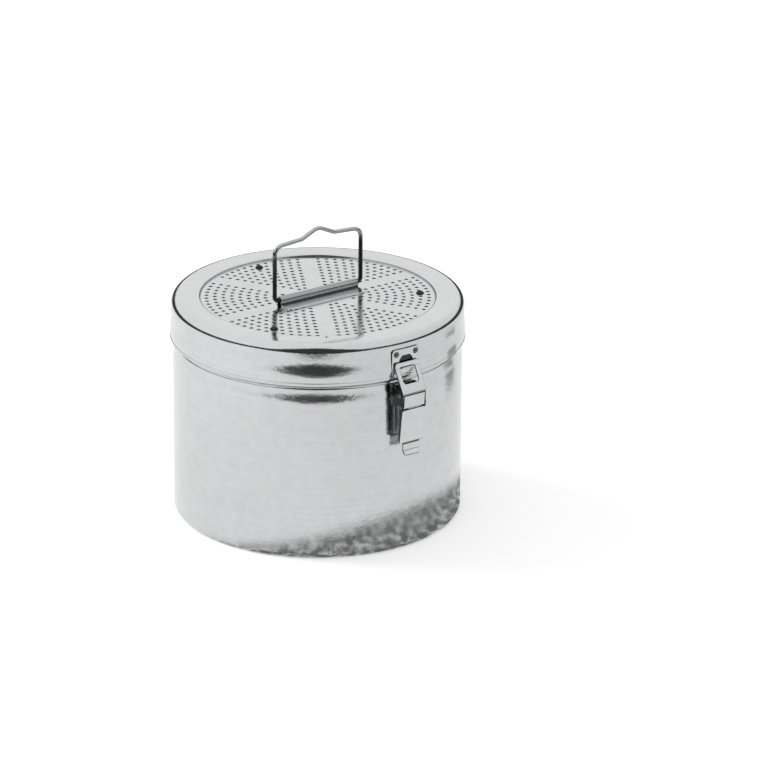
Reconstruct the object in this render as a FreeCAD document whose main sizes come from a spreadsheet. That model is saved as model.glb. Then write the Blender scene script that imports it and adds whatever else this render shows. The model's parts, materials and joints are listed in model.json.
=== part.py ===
import FreeCAD, Part
import Sketcher
import math
import os
import re

# Round sterilizing drum with a hinged, vented lid, a folding wire handle and a toggle latch.
# Millimetres and degrees. The origin is the middle of the flat floor, +Z up, the latch faces -Y
# and the hinge is behind, at +Y. The handle and the divider run along X.

doc = FreeCAD.newDocument("sterilizing_drum")
sheet = doc.addObject("Spreadsheet::Sheet", "sizes")

SIZES = {
    # lid shell
    "lid_radius": 70.0,
    "lid_top": 107.4,
    "lid_sheet": 0.7,
    "lid_round": 3.0,
    "skirt_tall": 20.15,
    "bead_proud": 0.6,
    "bead_tall": 1.5,
    "recess_radius": 56.0,
    "recess_depth": 1.2,
    "recess_round": 0.6,
    "ledge_wide": 1.6,
    # drum shell
    "lid_overhang": 0.8,
    "drum_sheet": 0.7,
    "foot_round": 3.0,
    "neck_step": 1.4,
    "neck_drop": 0.5,
    "shoulder_drop": 1.4,
    "rim_gap": 0.5,
    # vent plate
    "vent_sheet": 0.7,
    "vent_gap": 0.05,
    "hole_wide": 1.9,
    "hole_rim_gap": 0.4,
    "first_row": 13.0,
    "row_pitch": 4.0,
    "strip_offset": 5.0,
    # studs, filter and retainer
    "stud_inset": 7.0,
    "stud_wide": 1.8,
    "stud_head_wide": 4.0,
    "stud_head_top": 2.2,
    "stud_head_tall": 1.3,
    "stud_gap": 0.05,
    "filter_thick": 1.0,
    "filter_gap": 0.8,
    "retainer_sheet": 0.8,
    "retainer_rim_wide": 7.6,
    "retainer_hub_radius": 9.0,
    "retainer_spoke_wide": 6.0,
    "nut_wide": 5.0,
    "nut_tall": 2.4,
    "stud_tail": 0.6,
    # handle
    "wire_wide": 2.1,
    "wire_gap": 0.08,
    "pivot_rise": 2.6,
    "bail_half": 25.0,
    "bail_foot_bend": 2.2,
    "bail_corner_rise": 28.9,
    "bail_corner_bend": 3.2,
    "bail_dip_half": 9.4,
    "bail_dip_rise": 31.2,
    "bail_dip_bend": 3.0,
    "bail_hump_bend": 6.0,
    "bail_rise": 35.3,
    "bracket_gap": 0.4,
    "bracket_sheet": 0.7,
    "bracket_front": 9.0,
    "bracket_back": 3.4,
    "bracket_corner": 2.0,
    # hinge
    "hinge_out": 4.5,
    "hinge_rise": 1.1,
    "hinge_pin_wide": 2.0,
    "hinge_pin_gap": 0.05,
    "knuckle_wide": 4.2,
    "knuckle_gap": 0.2,
    "hinge_half": 14.0,
    "lid_knuckle_half": 6.0,
    "leaf_sheet": 0.8,
    "lid_leaf_rise": 3.5,
    "lid_leaf_tall": 11.0,
    "drum_leaf_drop": 4.5,
    "drum_leaf_tall": 18.0,
    "pin_head_wide": 3.0,
    "pin_head_tall": 0.8,
    "rivet_wide": 3.0,
    "rivet_top": 1.6,
    "rivet_tall": 0.9,
    "rivet_spread": 8.0,
    # catch on the lid
    "catch_half": 7.75,
    "catch_top_gap": 2.5,
    "catch_low_gap": 0.85,
    "catch_sheet": 0.8,
    "tongue_half": 3.4,
    "tongue_sheet": 0.8,
    "tongue_past": 0.7,
    "hook_drop": 13.0,
    # latch base on the drum
    "base_gap": 0.75,
    "base_half": 5.9,
    "base_tall": 24.4,
    "base_sheet": 0.8,
    "base_ear_sheet": 0.6,
    "base_ear_round": 1.6,
    "base_ear_fall": 8.8,
    # latch lever
    "lever_out": 6.3,
    "lever_below_base": 3.6,
    "lever_half": 6.7,
    "lever_ear_sheet": 0.6,
    "lever_ear_round": 1.9,
    "lever_ear_fall": 9.8,
    "lever_sheet": 0.8,
    "lever_plate_out": 1.9,
    "lever_plate_fall": 7.8,
    "lever_end_in": 0.1,
    "lever_end_fall": 24.0,
    "lever_pin_wide": 1.5,
    "tab_half": 4.65,
    "tab_tall": 6.3,
    "tab_flare": 1.8,
    # latch link
    "link_sheet": 0.7,
    "link_gap": 0.15,
    "link_half": 6.8,
    "link_bar_tall": 2.4,
    "link_window_half": 4.4,
    "link_window_rise": 6.0,
    "link_neck_half": 5.1,
    "link_neck_rise": 2.8,
    "fold_out": 2.1,
    "fold_rise": 1.0,
    "link_pin_out": 0.7,
    "link_pin_fall": 5.5,
    "link_pin_wide": 1.2,
    "link_curl_sheet": 0.65,
    "latch_pin_gap": 0.05,
    # divider
    "divider_sheet": 0.8,
    "divider_drop": 11.0,
    "divider_gap": 0.15,
    "divider_side_gap": 0.4,
    "guide_sheet": 0.8,
    "guide_deep": 5.0,
    "guide_gap": 0.5,
    "floor_gap": 0.3,
}

# Lengths worked out from the sizes. A reach is a distance from the middle of the drum, a level
# a height above its floor, and a drop a distance below the top of the vent plate.
WORKED_OUT = {
    "drum_radius": "(lid_radius - lid_overhang)",
    "neck_radius": "(drum_radius - neck_step)",
    "skirt_bottom": "(lid_top - skirt_tall)",
    "neck_level": "(skirt_bottom - neck_drop)",
    "shoulder_level": "(neck_level - shoulder_drop)",
    "vent_top": "(lid_top - recess_depth)",
    "vent_low": "(vent_top - vent_sheet)",
    "lid_under": "(lid_top - lid_sheet)",
    "rim_top": "(lid_under - rim_gap)",
    "skirt_inside": "(lid_radius - lid_sheet)",
    "neck_inside": "(neck_radius - drum_sheet)",
    "drum_inside": "(drum_radius - drum_sheet)",
    "stud_circle": "(recess_radius - stud_inset)",
    "filter_radius": "(recess_radius - ledge_wide - filter_gap)",
    "filter_low": "(vent_low - filter_thick)",
    "retainer_low": "(filter_low - retainer_sheet)",
    "nut_low": "(retainer_low - nut_tall)",
    "pivot_level": "(vent_top + pivot_rise)",
    "bracket_half": "(bail_half - bail_foot_bend - bracket_gap)",
    "hinge_reach": "(lid_radius + hinge_out)",
    "hinge_level": "(skirt_bottom + hinge_rise)",
    "lid_leaf_low": "(skirt_bottom + lid_leaf_rise)",
    "lid_leaf_top": "(lid_leaf_low + lid_leaf_tall)",
    "drum_leaf_top": "(skirt_bottom - drum_leaf_drop)",
    "drum_leaf_low": "(drum_leaf_top - drum_leaf_tall)",
    "catch_top_drop": "(lid_round - recess_depth + catch_top_gap)",
    "catch_low_drop": "(skirt_tall - recess_depth - bead_tall - catch_low_gap)",
    "base_top_drop": "(vent_top - shoulder_level + base_gap)",
    "base_low_drop": "(base_top_drop + base_tall)",
    "base_ear_low": "(lever_drop + base_ear_fall)",
    "lever_reach": "(drum_radius + lever_out)",
    "lever_drop": "(base_top_drop + lever_below_base)",
    "lever_plate_reach": "(lever_reach + lever_plate_out)",
    "lever_plate_drop": "(lever_drop + lever_plate_fall)",
    "lever_end_reach": "(lever_reach - lever_end_in)",
    "lever_end_drop": "(lever_drop + lever_end_fall)",
    "lever_ear_low": "(lever_drop + lever_ear_fall)",
    "tab_low": "(lever_end_drop + tab_tall)",
    "link_bar_reach": "(lid_radius + catch_sheet + link_gap + link_sheet / 2)",
    "link_window_low": "(lever_drop - link_window_rise)",
    "link_neck_drop": "(lever_drop - link_neck_rise)",
    "fold_reach": "(lever_reach + fold_out)",
    "fold_drop": "(lever_drop - fold_rise)",
    "link_pin_reach": "(lever_reach + link_pin_out)",
    "link_pin_drop": "(lever_drop + link_pin_fall)",
    "divider_half": "(neck_inside - divider_side_gap)",
    "divider_top": "(rim_top - divider_drop)",
    "guide_low": "(foot_round + floor_gap)",
    "guide_top": "(shoulder_level - drum_sheet - guide_gap)",
}

for row, (alias, value) in enumerate(SIZES.items(), start=1):
    sheet.set("A%d" % row, alias.replace("_", " "))
    sheet.set("B%d" % row, str(value))
    sheet.setAlias("B%d" % row, alias)
doc.recompute()

ALIAS = re.compile(r"\b(%s)\b" % "|".join(SIZES))
WORKED_OUT_NAME = re.compile(r"\b(%s)\b" % "|".join(WORKED_OUT))


def in_full(text):
    """The formula with every worked-out length written in the sheet's own aliases."""
    while WORKED_OUT_NAME.search(text):
        text = WORKED_OUT_NAME.sub(lambda name: WORKED_OUT[name.group()], text)
    return text


def size(text):
    """The value of a formula of the sizes."""
    return float(sheet.evalExpression(in_full(text)))


def bound(text):
    """The formula with each alias read from the sheet."""
    return ALIAS.sub(lambda alias: "sizes." + alias.group(), in_full(text))


def bind(thing, prop, text):
    thing.setExpression(prop, bound(text))
    return thing


def drop(alias):
    """The level that lies so far below the top of the vent plate."""
    return "(vent_top - %s)" % alias


def plane(body, role):
    return [f for f in body.Origin.OriginFeatures if f.Role == role][0]


def polygon_sketch(body, name, role, points):
    """A closed outline whose corners are formulas of the sizes."""
    sketch = body.newObject("Sketcher::SketchObject", name)
    sketch.AttachmentSupport = [(plane(body, role), "")]
    sketch.MapMode = "FlatFace"
    corners = [FreeCAD.Vector(size(a), size(b), 0) for a, b in points]
    for one, two in zip(corners, corners[1:] + corners[:1]):
        sketch.addGeometry(Part.LineSegment(one, two), False)
    count = len(points)
    for i in range(count):
        sketch.addConstraint(Sketcher.Constraint("Coincident", i, 2, (i + 1) % count, 1))
    for i, (a, b) in enumerate(points):
        for kind, text, value in (("DistanceX", a, corners[i].x), ("DistanceY", b, corners[i].y)):
            number = sketch.addConstraint(Sketcher.Constraint(kind, -1, 1, i, 1, value))
            sketch.setExpression("Constraints[%d]" % number, bound(text))
    return sketch


def new_body(label):
    body = doc.addObject("PartDesign::Body", label)
    body.Label = label
    return body


def revolved(label, points):
    """A sheet-metal ring turned about Z from an outline of radius and height."""
    body = new_body(label)
    sketch = polygon_sketch(body, label + "_outline", "XZ_Plane", points)
    turn = body.newObject("PartDesign::Revolution", label + "_turn")
    turn.Profile = sketch
    turn.ReferenceAxis = (sketch, ["V_Axis"])
    turn.Angle = 360
    return body


def extruded(label, role, points, long, along):
    """A straight piece pushed along X or Z from its outline, centred on X where it runs along X."""
    body = new_body(label)
    sketch = polygon_sketch(body, label + "_outline", role, points)
    pad = body.newObject("PartDesign::Pad", label + "_pad")
    pad.Profile = sketch
    bind(pad, "Length", long)
    if along == "X":
        bind(body, "Placement.Base.x", "-(%s) / 2" % long)
    return body


def rounding(reach, level, bend, start, end, steps):
    """Points of a rounded corner of an outline, turned about its own centre from one angle to another."""
    middle = math.radians((start + end) / 2)
    across = "-" if math.cos(middle) > 0 else "+"
    along = "-" if math.sin(middle) > 0 else "+"
    points = []
    for i in range(steps + 1):
        angle = start + (end - start) * i / steps
        points.append(("%s %s %s + %s * cos(%g deg)" % (reach, across, bend, bend, angle),
                       "%s %s %s + %s * sin(%g deg)" % (level, along, bend, bend, angle)))
    return points


def box(name, corner, lengths):
    piece = doc.addObject("Part::Box", name)
    for prop, text in zip(("Length", "Width", "Height"), lengths):
        bind(piece, prop, text)
    for axis, text in zip("xyz", corner):
        bind(piece, "Placement.Base." + axis, text)
    return piece


TURNS = {
    "Z": FreeCAD.Rotation(),
    "X": FreeCAD.Rotation(FreeCAD.Vector(0, 1, 0), 90),
    "-Y": FreeCAD.Rotation(FreeCAD.Vector(1, 0, 0), 90),
    "Y": FreeCAD.Rotation(FreeCAD.Vector(1, 0, 0), -90),
    "-Z": FreeCAD.Rotation(FreeCAD.Vector(1, 0, 0), 180),
}


def rod(name, start, axis, radius, long, sides=0):
    """A round bar from a start point along an axis, or a bar with so many flat sides."""
    piece = doc.addObject("Part::Prism" if sides else "Part::Cylinder", name)
    piece.Placement = FreeCAD.Placement(FreeCAD.Vector(), TURNS[axis])
    if sides:
        piece.Polygon = sides
    bind(piece, "Circumradius" if sides else "Radius", radius)
    bind(piece, "Height", long)
    for letter, text in zip("xyz", start):
        bind(piece, "Placement.Base." + letter, text)
    return piece


def cut(name, base, tool):
    result = doc.addObject("Part::Cut", name)
    result.Base = base
    result.Tool = tool
    result.Label = name
    return result


def fuse(name, *pieces):
    result = doc.addObject("Part::MultiFuse", name)
    result.Shapes = list(pieces)
    result.Label = name
    return result


def common(name, one, two):
    result = doc.addObject("Part::Common", name)
    result.Base = one
    result.Tool = two
    result.Label = name
    return result


def tube(name, outer, inner, low, tall):
    """An upright ring, used to bend flat pieces round the drum and the lid."""
    solid = rod(name + "_outside", ("0", "0", low), "Z", outer, tall)
    bore = rod(name + "_inside", ("0", "0", "%s - 1" % low), "Z", inner, "%s + 2" % tall)
    return cut(name + "_ring", solid, bore)


def curved_plate(name, side, half, inner, thick, low, top):
    """A plate bent round the drum: side is 1 behind and -1 in front."""
    outer = "%s + %s" % (inner, thick)
    tall = "(%s) - (%s)" % (top, low)
    ring = tube(name, outer, inner, low, tall)
    start = "0" if side > 0 else "-(%s)" % outer
    window = box(name + "_window", ("-" + half, start, low), ("2 * " + half, outer, tall))
    return common(name + "_band", ring, window)


def button_head(name, centre, axis, wide, top, tall):
    """A low rivet head that narrows from its seat to its top."""
    head = doc.addObject("Part::Cone", name)
    head.Placement = FreeCAD.Placement(FreeCAD.Vector(), TURNS[axis])
    bind(head, "Radius1", "%s / 2" % wide)
    bind(head, "Radius2", "%s / 2" % top)
    bind(head, "Height", tall)
    for letter, text in zip("xyz", centre):
        bind(head, "Placement.Base." + letter, text)
    return head


# How many flats stand for a rounded edge outside and inside, and for a small round hole
EDGE_STEPS = 4
INNER_STEPS = 3
SMALL_SIDES = 12
CLEAR_OF_FLATS = "cos(%g deg)" % (180 / SMALL_SIDES)

# Drum: floor, wall, shoulder and necked-in rim that the skirt goes over
revolved("drum_shell", [
    ("0", "0"),
    *rounding("drum_radius", "0", "foot_round", -90, 0, EDGE_STEPS),
    ("drum_radius", "shoulder_level"),
    ("neck_radius", "neck_level"),
    ("neck_radius", "rim_top"),
    ("neck_inside", "rim_top"),
    ("neck_inside", "neck_level - drum_sheet / 2"),
    ("drum_inside", "shoulder_level - drum_sheet / 2"),
    *rounding("drum_inside", "drum_sheet", "(foot_round - drum_sheet)", 0, -90, INNER_STEPS),
    ("0", "drum_sheet"),
])

# Lid: skirt with its bottom bead, flat top ring, recess wall and the ledge under the vent plate
revolved("lid_shell", [
    ("skirt_inside", "skirt_bottom"),
    ("lid_radius + bead_proud", "skirt_bottom"),
    ("lid_radius + bead_proud", "skirt_bottom + bead_tall"),
    ("lid_radius", "skirt_bottom + bead_tall"),
    *rounding("lid_radius", "lid_top", "lid_round", 0, 90, EDGE_STEPS),
    *rounding("recess_radius", "lid_top", "recess_round", 90, 180, INNER_STEPS),
    ("recess_radius", "vent_low"),
    ("recess_radius - ledge_wide", "vent_low"),
    ("recess_radius - ledge_wide", "vent_low - lid_sheet"),
    ("recess_radius + lid_sheet", "vent_low - lid_sheet"),
    ("recess_radius + lid_sheet", "lid_under"),
    *rounding("skirt_inside", "lid_under", "(lid_round - lid_sheet)", 90, 0, INNER_STEPS),
])

# Vent plate: six sectors of holes between plain strips. Each row of a sector has one hole more than
# the row inside it, and in every other sector a stud stands where a hole would crowd it.
# A square hole is as open as the round one of its width.
SECTORS = 6
HOLE_SIDES = 4
HOLE_CORNER = "hole_wide / 2 * sqrt(%g)" % (math.pi / 2)
STUDS = 3
SECTOR_TURN = 2 * math.pi / SECTORS


def stud_angle(number):
    return 90 + 360 / STUDS * number


def spot_at(radius, angle):
    return FreeCAD.Vector(radius * math.cos(angle), radius * math.sin(angle), 0)


def around(centre, radius, sides, turn=0):
    """A regular outline of so many sides about a centre, run clockwise as the edge of a hole."""
    corners = [centre + spot_at(radius, turn - 2 * math.pi * i / sides) for i in range(sides)]
    return Part.makePolygon(corners + corners[:1])


def vent_holes(studs):
    corner = size(HOLE_CORNER)
    stud_room = size("(stud_head_wide + hole_wide) / 2 + hole_rim_gap")
    first = size("first_row")
    pitch = size("row_pitch")
    last = size("recess_radius - ledge_wide - hole_wide / 2 - hole_rim_gap")
    for row in range(1 + int((last - first) / pitch)):
        radius = first + row * pitch
        lean = math.asin(size("strip_offset") / radius)
        step = (SECTOR_TURN - 2 * lean) / (row + 1)
        for sector in range(SECTORS):
            for number in range(row + 2):
                angle = SECTOR_TURN * sector + lean + number * step
                spot = spot_at(radius, angle)
                if min(spot.distanceToPoint(stud) for stud in studs) > stud_room:
                    yield around(spot, corner, HOLE_SIDES, angle)


def vent_plate():
    piece = doc.addObject("Part::Feature", "vent_plate")
    studs = [spot_at(size("stud_circle"), math.radians(stud_angle(i))) for i in range(STUDS)]
    stud_hole_radius = size("(stud_wide / 2 + stud_gap) / " + CLEAR_OF_FLATS)
    face = Part.Face(Part.Wire([Part.makeCircle(size("recess_radius - vent_gap"))]))
    face.cutHoles([around(stud, stud_hole_radius, SMALL_SIDES) for stud in studs] + list(vent_holes(studs)))
    piece.Shape = face.extrude(FreeCAD.Vector(0, 0, size("vent_sheet")))
    bind(piece, "Placement.Base.z", "vent_low")


vent_plate()


def stud_place(number):
    angle = stud_angle(number)
    return ("stud_circle * cos(%g deg)" % angle, "stud_circle * sin(%g deg)" % angle)


def three(label, maker):
    return fuse(label, *[maker(i) for i in range(STUDS)])


# Studs: a low head above the disc and a shank down through filter, retainer and nut
def stud(number):
    x, y = stud_place(number)
    head = button_head("stud_head_%d" % number, (x, y, "vent_top"), "Z",
                       "stud_head_wide", "stud_head_top", "stud_head_tall")
    shank = rod("stud_shank_%d" % number, (x, y, "nut_low - stud_tail"), "Z", "stud_wide / 2",
                "vent_top - (nut_low - stud_tail)", SMALL_SIDES)
    return fuse("stud_%d" % number, head, shank)


def stud_hole(name, number, low, tall):
    x, y = stud_place(number)
    return rod("%s_hole_%d" % (name, number), (x, y, "%s - 1" % low), "Z",
               "(stud_wide / 2 + stud_gap) / " + CLEAR_OF_FLATS, "%s + 2" % tall, SMALL_SIDES)


def drilled(label, blank, low, tall):
    holes = fuse(label + "_holes", *[stud_hole(label, i, low, tall) for i in range(STUDS)])
    return cut(label, blank, holes)


three("vent_studs", stud)

cloth = rod("filter_blank", ("0", "0", "filter_low"), "Z", "filter_radius", "filter_thick")
drilled("filter_disc", cloth, "filter_low", "filter_thick")


# Retainer: rim, hub and spokes under the filter
def retainer():
    low = "retainer_low"
    rim = tube("retainer_rim", "filter_radius", "filter_radius - retainer_rim_wide", low, "retainer_sheet")
    hub = rod("retainer_hub", ("0", "0", low), "Z", "retainer_hub_radius", "retainer_sheet")
    spokes = []
    for number in range(STUDS):
        angle = stud_angle(number)
        bar = box("retainer_spoke_%d" % number, ("0", "-retainer_spoke_wide / 2", low),
                  ("filter_radius - retainer_rim_wide / 2", "retainer_spoke_wide", "retainer_sheet"))
        turn = FreeCAD.Rotation(FreeCAD.Vector(0, 0, 1), angle)
        bar.Placement = FreeCAD.Placement(FreeCAD.Vector(), turn)
        bind(bar, "Placement.Base.x", "retainer_spoke_wide / 2 * sin(%g deg)" % angle)
        bind(bar, "Placement.Base.y", "-retainer_spoke_wide / 2 * cos(%g deg)" % angle)
        bind(bar, "Placement.Base.z", low)
        spokes.append(bar)
    return fuse("retainer_blank", rim, hub, *spokes)


drilled("filter_retainer", retainer(), "retainer_low", "retainer_sheet")


NUT_SIDES = 6


def nut(number):
    x, y = stud_place(number)
    return rod("nut_%d" % number, (x, y, "nut_low"), "Z", "nut_wide / 2", "nut_tall", NUT_SIDES)


drilled("retainer_nuts", three("nut_blanks", nut), "nut_low", "nut_tall")

# Handle bracket: a saddle bent over the wire, with flanges flat on the disc
BRACKET_LONG = "2 * bracket_half"
ARCH = "(wire_wide / 2 + wire_gap + bracket_sheet)"
WIRE_BORE = "(wire_wide / 2 + wire_gap)"


def handle_bracket():
    arch = rod("bracket_arch", ("-bracket_half", "0", "pivot_level"), "X", ARCH, BRACKET_LONG)
    walls = box("bracket_walls", ("-bracket_half", "-" + ARCH, "vent_top"),
                (BRACKET_LONG, "2 * " + ARCH, "pivot_rise"))
    flange = box("bracket_flange", ("-bracket_half", "-bracket_front", "vent_top"),
                 (BRACKET_LONG, "bracket_front + bracket_back", "bracket_sheet"))
    doc.recompute()
    edges = []
    for number, edge in enumerate(flange.Shape.Edges, start=1):
        upright = edge.BoundBox.ZLength > 0.5 * size("bracket_sheet") and edge.BoundBox.XLength < 1e-6
        if upright:
            edges.append((number, size("bracket_corner"), size("bracket_corner")))
    rounded_flange = doc.addObject("Part::Fillet", "bracket_flange_round")
    rounded_flange.Base = flange
    rounded_flange.Edges = edges
    blank = fuse("bracket_blank", arch, walls, rounded_flange)
    bore = rod("bracket_bore", ("-bracket_half - 1", "0", "pivot_level"), "X",
               WIRE_BORE, BRACKET_LONG + " + 2")
    slot = box("bracket_slot", ("-bracket_half - 1", "-" + WIRE_BORE, "vent_top - 1"),
               (BRACKET_LONG + " + 2", "2 * " + WIRE_BORE, "pivot_rise + 1"))
    return cut("handle_bracket", blank, fuse("bracket_inside", bore, slot))


handle_bracket()


# Handle bail: one closed wire loop with rounded corners and a hump for the finger
def rounded_loop(corners):
    """A closed path of straight runs and arcs, from corners and their bend radii."""
    count = len(corners)
    starts = []
    ends = []
    middles = []
    for i, (corner, bend) in enumerate(corners):
        before = (corners[i - 1][0] - corner).normalize()
        after = (corners[(i + 1) % count][0] - corner).normalize()
        half = before.getAngle(after) / 2
        away = bend / math.tan(half)
        middle = (before + after).normalize()
        starts.append(corner + before * away)
        ends.append(corner + after * away)
        middles.append(corner + middle * (bend / math.sin(half) - bend))
    edges = []
    for i in range(count):
        edges.append(Part.Arc(starts[i], middles[i], ends[i]).toShape())
        edges.append(Part.LineSegment(ends[i], starts[(i + 1) % count]).toShape())
    return Part.Wire(edges)


def handle_bail():
    piece = doc.addObject("Part::Feature", "handle_bail")
    top = size("bail_rise - wire_wide / 2 - pivot_rise")
    corner_rise = size("bail_corner_rise - pivot_rise")
    dip_rise = size("bail_dip_rise - pivot_rise")
    half = size("bail_half")
    dip = size("bail_dip_half")
    hump = size("bail_hump_bend")
    peak = top
    for _ in range(30):
        half_turn = math.atan2(dip, peak - dip_rise)
        peak = top + hump / math.sin(half_turn) - hump
    right = [
        (FreeCAD.Vector(half, 0, 0), size("bail_foot_bend")),
        (FreeCAD.Vector(half, 0, corner_rise), size("bail_corner_bend")),
        (FreeCAD.Vector(dip, 0, dip_rise), size("bail_dip_bend")),
    ]
    left = [(FreeCAD.Vector(-spot.x, 0, spot.z), bend) for spot, bend in reversed(right)]
    path = rounded_loop(right + [(FreeCAD.Vector(0, 0, peak), hump)] + left)
    first = path.OrderedEdges[0]
    spot = first.valueAt(first.FirstParameter)
    along = first.tangentAt(first.FirstParameter)
    ring = Part.Wire([Part.makeCircle(size("wire_wide / 2"), spot, along)])
    piece.Shape = path.makePipeShell([ring], True, False)
    bind(piece, "Placement.Base.z", "pivot_level")
    expected = path.Length * math.pi * size("wire_wide / 2") ** 2
    print("bail volume %.1f, section times length %.1f" % (piece.Shape.Volume, expected))


handle_bail()

# Hinge behind: two leaves bent to the drum and the lid, knuckles and pin
KNUCKLE = "knuckle_wide / 2"
PIN_BORE = "(hinge_pin_wide / 2 + hinge_pin_gap)"
HINGE_LONG = "2 * hinge_half"


def hinge_bore(name):
    return rod(name, ("-hinge_half - 1", "hinge_reach", "hinge_level"), "X", PIN_BORE, HINGE_LONG + " + 2")


def lid_hinge_leaf():
    band = curved_plate("lid_leaf", 1, "hinge_half", "lid_radius", "leaf_sheet",
                        "lid_leaf_low", "lid_leaf_top")
    wide = "2 * (lid_knuckle_half - knuckle_gap / 2)"
    web = extruded("lid_leaf_web", "YZ_Plane", [
        ("lid_radius - 1", "lid_leaf_low"),
        ("hinge_reach - knuckle_wide * 0.45", "hinge_level + knuckle_wide * 0.14"),
        ("hinge_reach", "hinge_level"),
        ("hinge_reach + knuckle_wide * 0.2", "hinge_level + knuckle_wide * 0.45"),
        ("lid_radius + leaf_sheet", "lid_leaf_low + 1.5 * leaf_sheet"),
        ("lid_radius - 1", "lid_leaf_low + 1.5 * leaf_sheet"),
    ], wide, "X")
    start = ("-lid_knuckle_half + knuckle_gap / 2", "hinge_reach", "hinge_level")
    knuckle = rod("lid_knuckle", start, "X", KNUCKLE, wide)
    blank = fuse("lid_leaf_blank", band, web, knuckle)
    lid_space = rod("lid_leaf_space", ("0", "0", "lid_leaf_low - 1"), "Z", "lid_radius",
                    "lid_leaf_tall + 2")
    return cut("lid_hinge_leaf", blank, fuse("lid_leaf_cuts", lid_space, hinge_bore("lid_leaf_bore")))


def drum_hinge_leaf():
    band = curved_plate("drum_leaf", 1, "hinge_half", "drum_radius", "leaf_sheet",
                        "drum_leaf_low", "drum_leaf_top")
    web = extruded("drum_leaf_web", "YZ_Plane", [
        ("drum_radius - 2", "drum_leaf_top - 1.5 * leaf_sheet"),
        ("drum_radius + leaf_sheet", "drum_leaf_top - 1.5 * leaf_sheet"),
        ("hinge_reach + knuckle_wide * 0.1", "hinge_level - knuckle_wide * 0.48"),
        ("hinge_reach", "hinge_level"),
        ("hinge_reach - knuckle_wide * 0.48", "hinge_level - knuckle_wide * 0.1"),
        ("drum_radius - 2", "drum_leaf_top - leaf_sheet / 2"),
    ], HINGE_LONG, "X")
    knuckle = rod("drum_knuckle", ("-hinge_half", "hinge_reach", "hinge_level"), "X", KNUCKLE, HINGE_LONG)
    blank = fuse("drum_leaf_blank", band, web, knuckle)
    room = "(knuckle_wide / 2 + 2 * knuckle_gap)"
    middle = box("drum_leaf_window",
                 ("-lid_knuckle_half - knuckle_gap / 2", "hinge_reach - " + room, "hinge_level - " + room),
                 ("2 * lid_knuckle_half + knuckle_gap", "2 * " + room, "2 * " + room))
    drum_space = rod("drum_leaf_space", ("0", "0", "drum_leaf_low - 1"), "Z", "drum_radius",
                     "hinge_level + knuckle_wide - drum_leaf_low")
    cuts = fuse("drum_leaf_cuts", middle, drum_space, hinge_bore("drum_leaf_bore"))
    return cut("drum_hinge_leaf", blank, cuts)


def headed_pin(label, half, reach, level, wide, head_wide, head_tall):
    head = "%s / 2" % head_wide
    far = "-(%s) - %s" % (half, head_tall)
    shank = rod(label + "_shank", ("-(%s)" % half, reach, level), "X", "%s / 2" % wide, "2 * (%s)" % half)
    left = rod(label + "_left", (far, reach, level), "X", head, head_tall)
    right = rod(label + "_right", (half, reach, level), "X", head, head_tall)
    return fuse(label, shank, left, right)


lid_hinge_leaf()
drum_hinge_leaf()
headed_pin("hinge_pin", "hinge_half", "hinge_reach", "hinge_level",
           "hinge_pin_wide", "pin_head_wide", "pin_head_tall")


def side_rivets(label, side, skin, level, spread):
    """Two rivet heads on a bent plate, each square to the curve under it."""
    heads = []
    for number, hand in enumerate((-1, 1)):
        axis = "Y" if side > 0 else "-Y"
        head = button_head("%s_head_%d" % (label, number), ("0", "%d * %s" % (side, skin), level), axis,
                           "rivet_wide", "rivet_top", "rivet_tall")
        turned = doc.addObject("Part::Compound", "%s_turned_%d" % (label, number))
        turned.Links = [head]
        turned.Placement = FreeCAD.Placement(FreeCAD.Vector(), FreeCAD.Rotation(FreeCAD.Vector(0, 0, 1), 1))
        bind(turned, "Placement.Rotation.Angle", "%d * asin((%s) / (%s))" % (hand, spread, skin))
        heads.append(turned)
    return fuse(label, *heads)


side_rivets("lid_hinge_rivets", 1, "(lid_radius + leaf_sheet)",
            "(lid_leaf_top - rivet_wide)", "rivet_spread")
side_rivets("drum_hinge_rivets", 1, "(drum_radius + leaf_sheet)",
            "(drum_leaf_low + rivet_wide)", "rivet_spread")

# Latch in front: a catch on the lid, a link that hooks it, and a lever on a base on the drum.
# The link's pin lies inside the line from the lever's pin to the hook, so the closed latch stays shut.


def at(reach, drop_alias, more=""):
    """A point of the latch seen from the side: how far out it lies and its level."""
    return ("-(%s)" % reach, "%s %s" % (drop(drop_alias), more))


def front_rod(name, half, reach, drop_alias, radius):
    return rod(name, ("-(%s)" % half, "-(%s)" % reach, drop(drop_alias)), "X", radius, "2 * (%s)" % half)


def front_box(name, half, outer, inner, low, top):
    return box(name, ("-(%s)" % half, "-(%s)" % outer, low),
               ("2 * (%s)" % half, "(%s) - (%s)" % (outer, inner), "(%s) - (%s)" % (top, low)))


BAR_INNER = "(link_bar_reach - link_sheet / 2)"
BAR_OUTER = "(link_bar_reach + link_sheet / 2)"
LINK_CURL = "(link_pin_wide / 2 + latch_pin_gap + link_curl_sheet)"


def catch_plate():
    low = drop("catch_low_drop")
    top = drop("catch_top_drop")
    band = curved_plate("catch", -1, "catch_half", "lid_radius", "catch_sheet", low, top)
    tongue = front_box("catch_tongue", "tongue_half", BAR_OUTER + " + tongue_past", "lid_radius",
                       drop("hook_drop") + " - tongue_sheet", drop("hook_drop"))
    lid_space = rod("catch_space", ("0", "0", low + " - 1"), "Z", "lid_radius",
                    "(%s) - (%s) + 2" % (top, low))
    return cut("catch_plate", fuse("catch_blank", band, tongue), lid_space)


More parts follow.
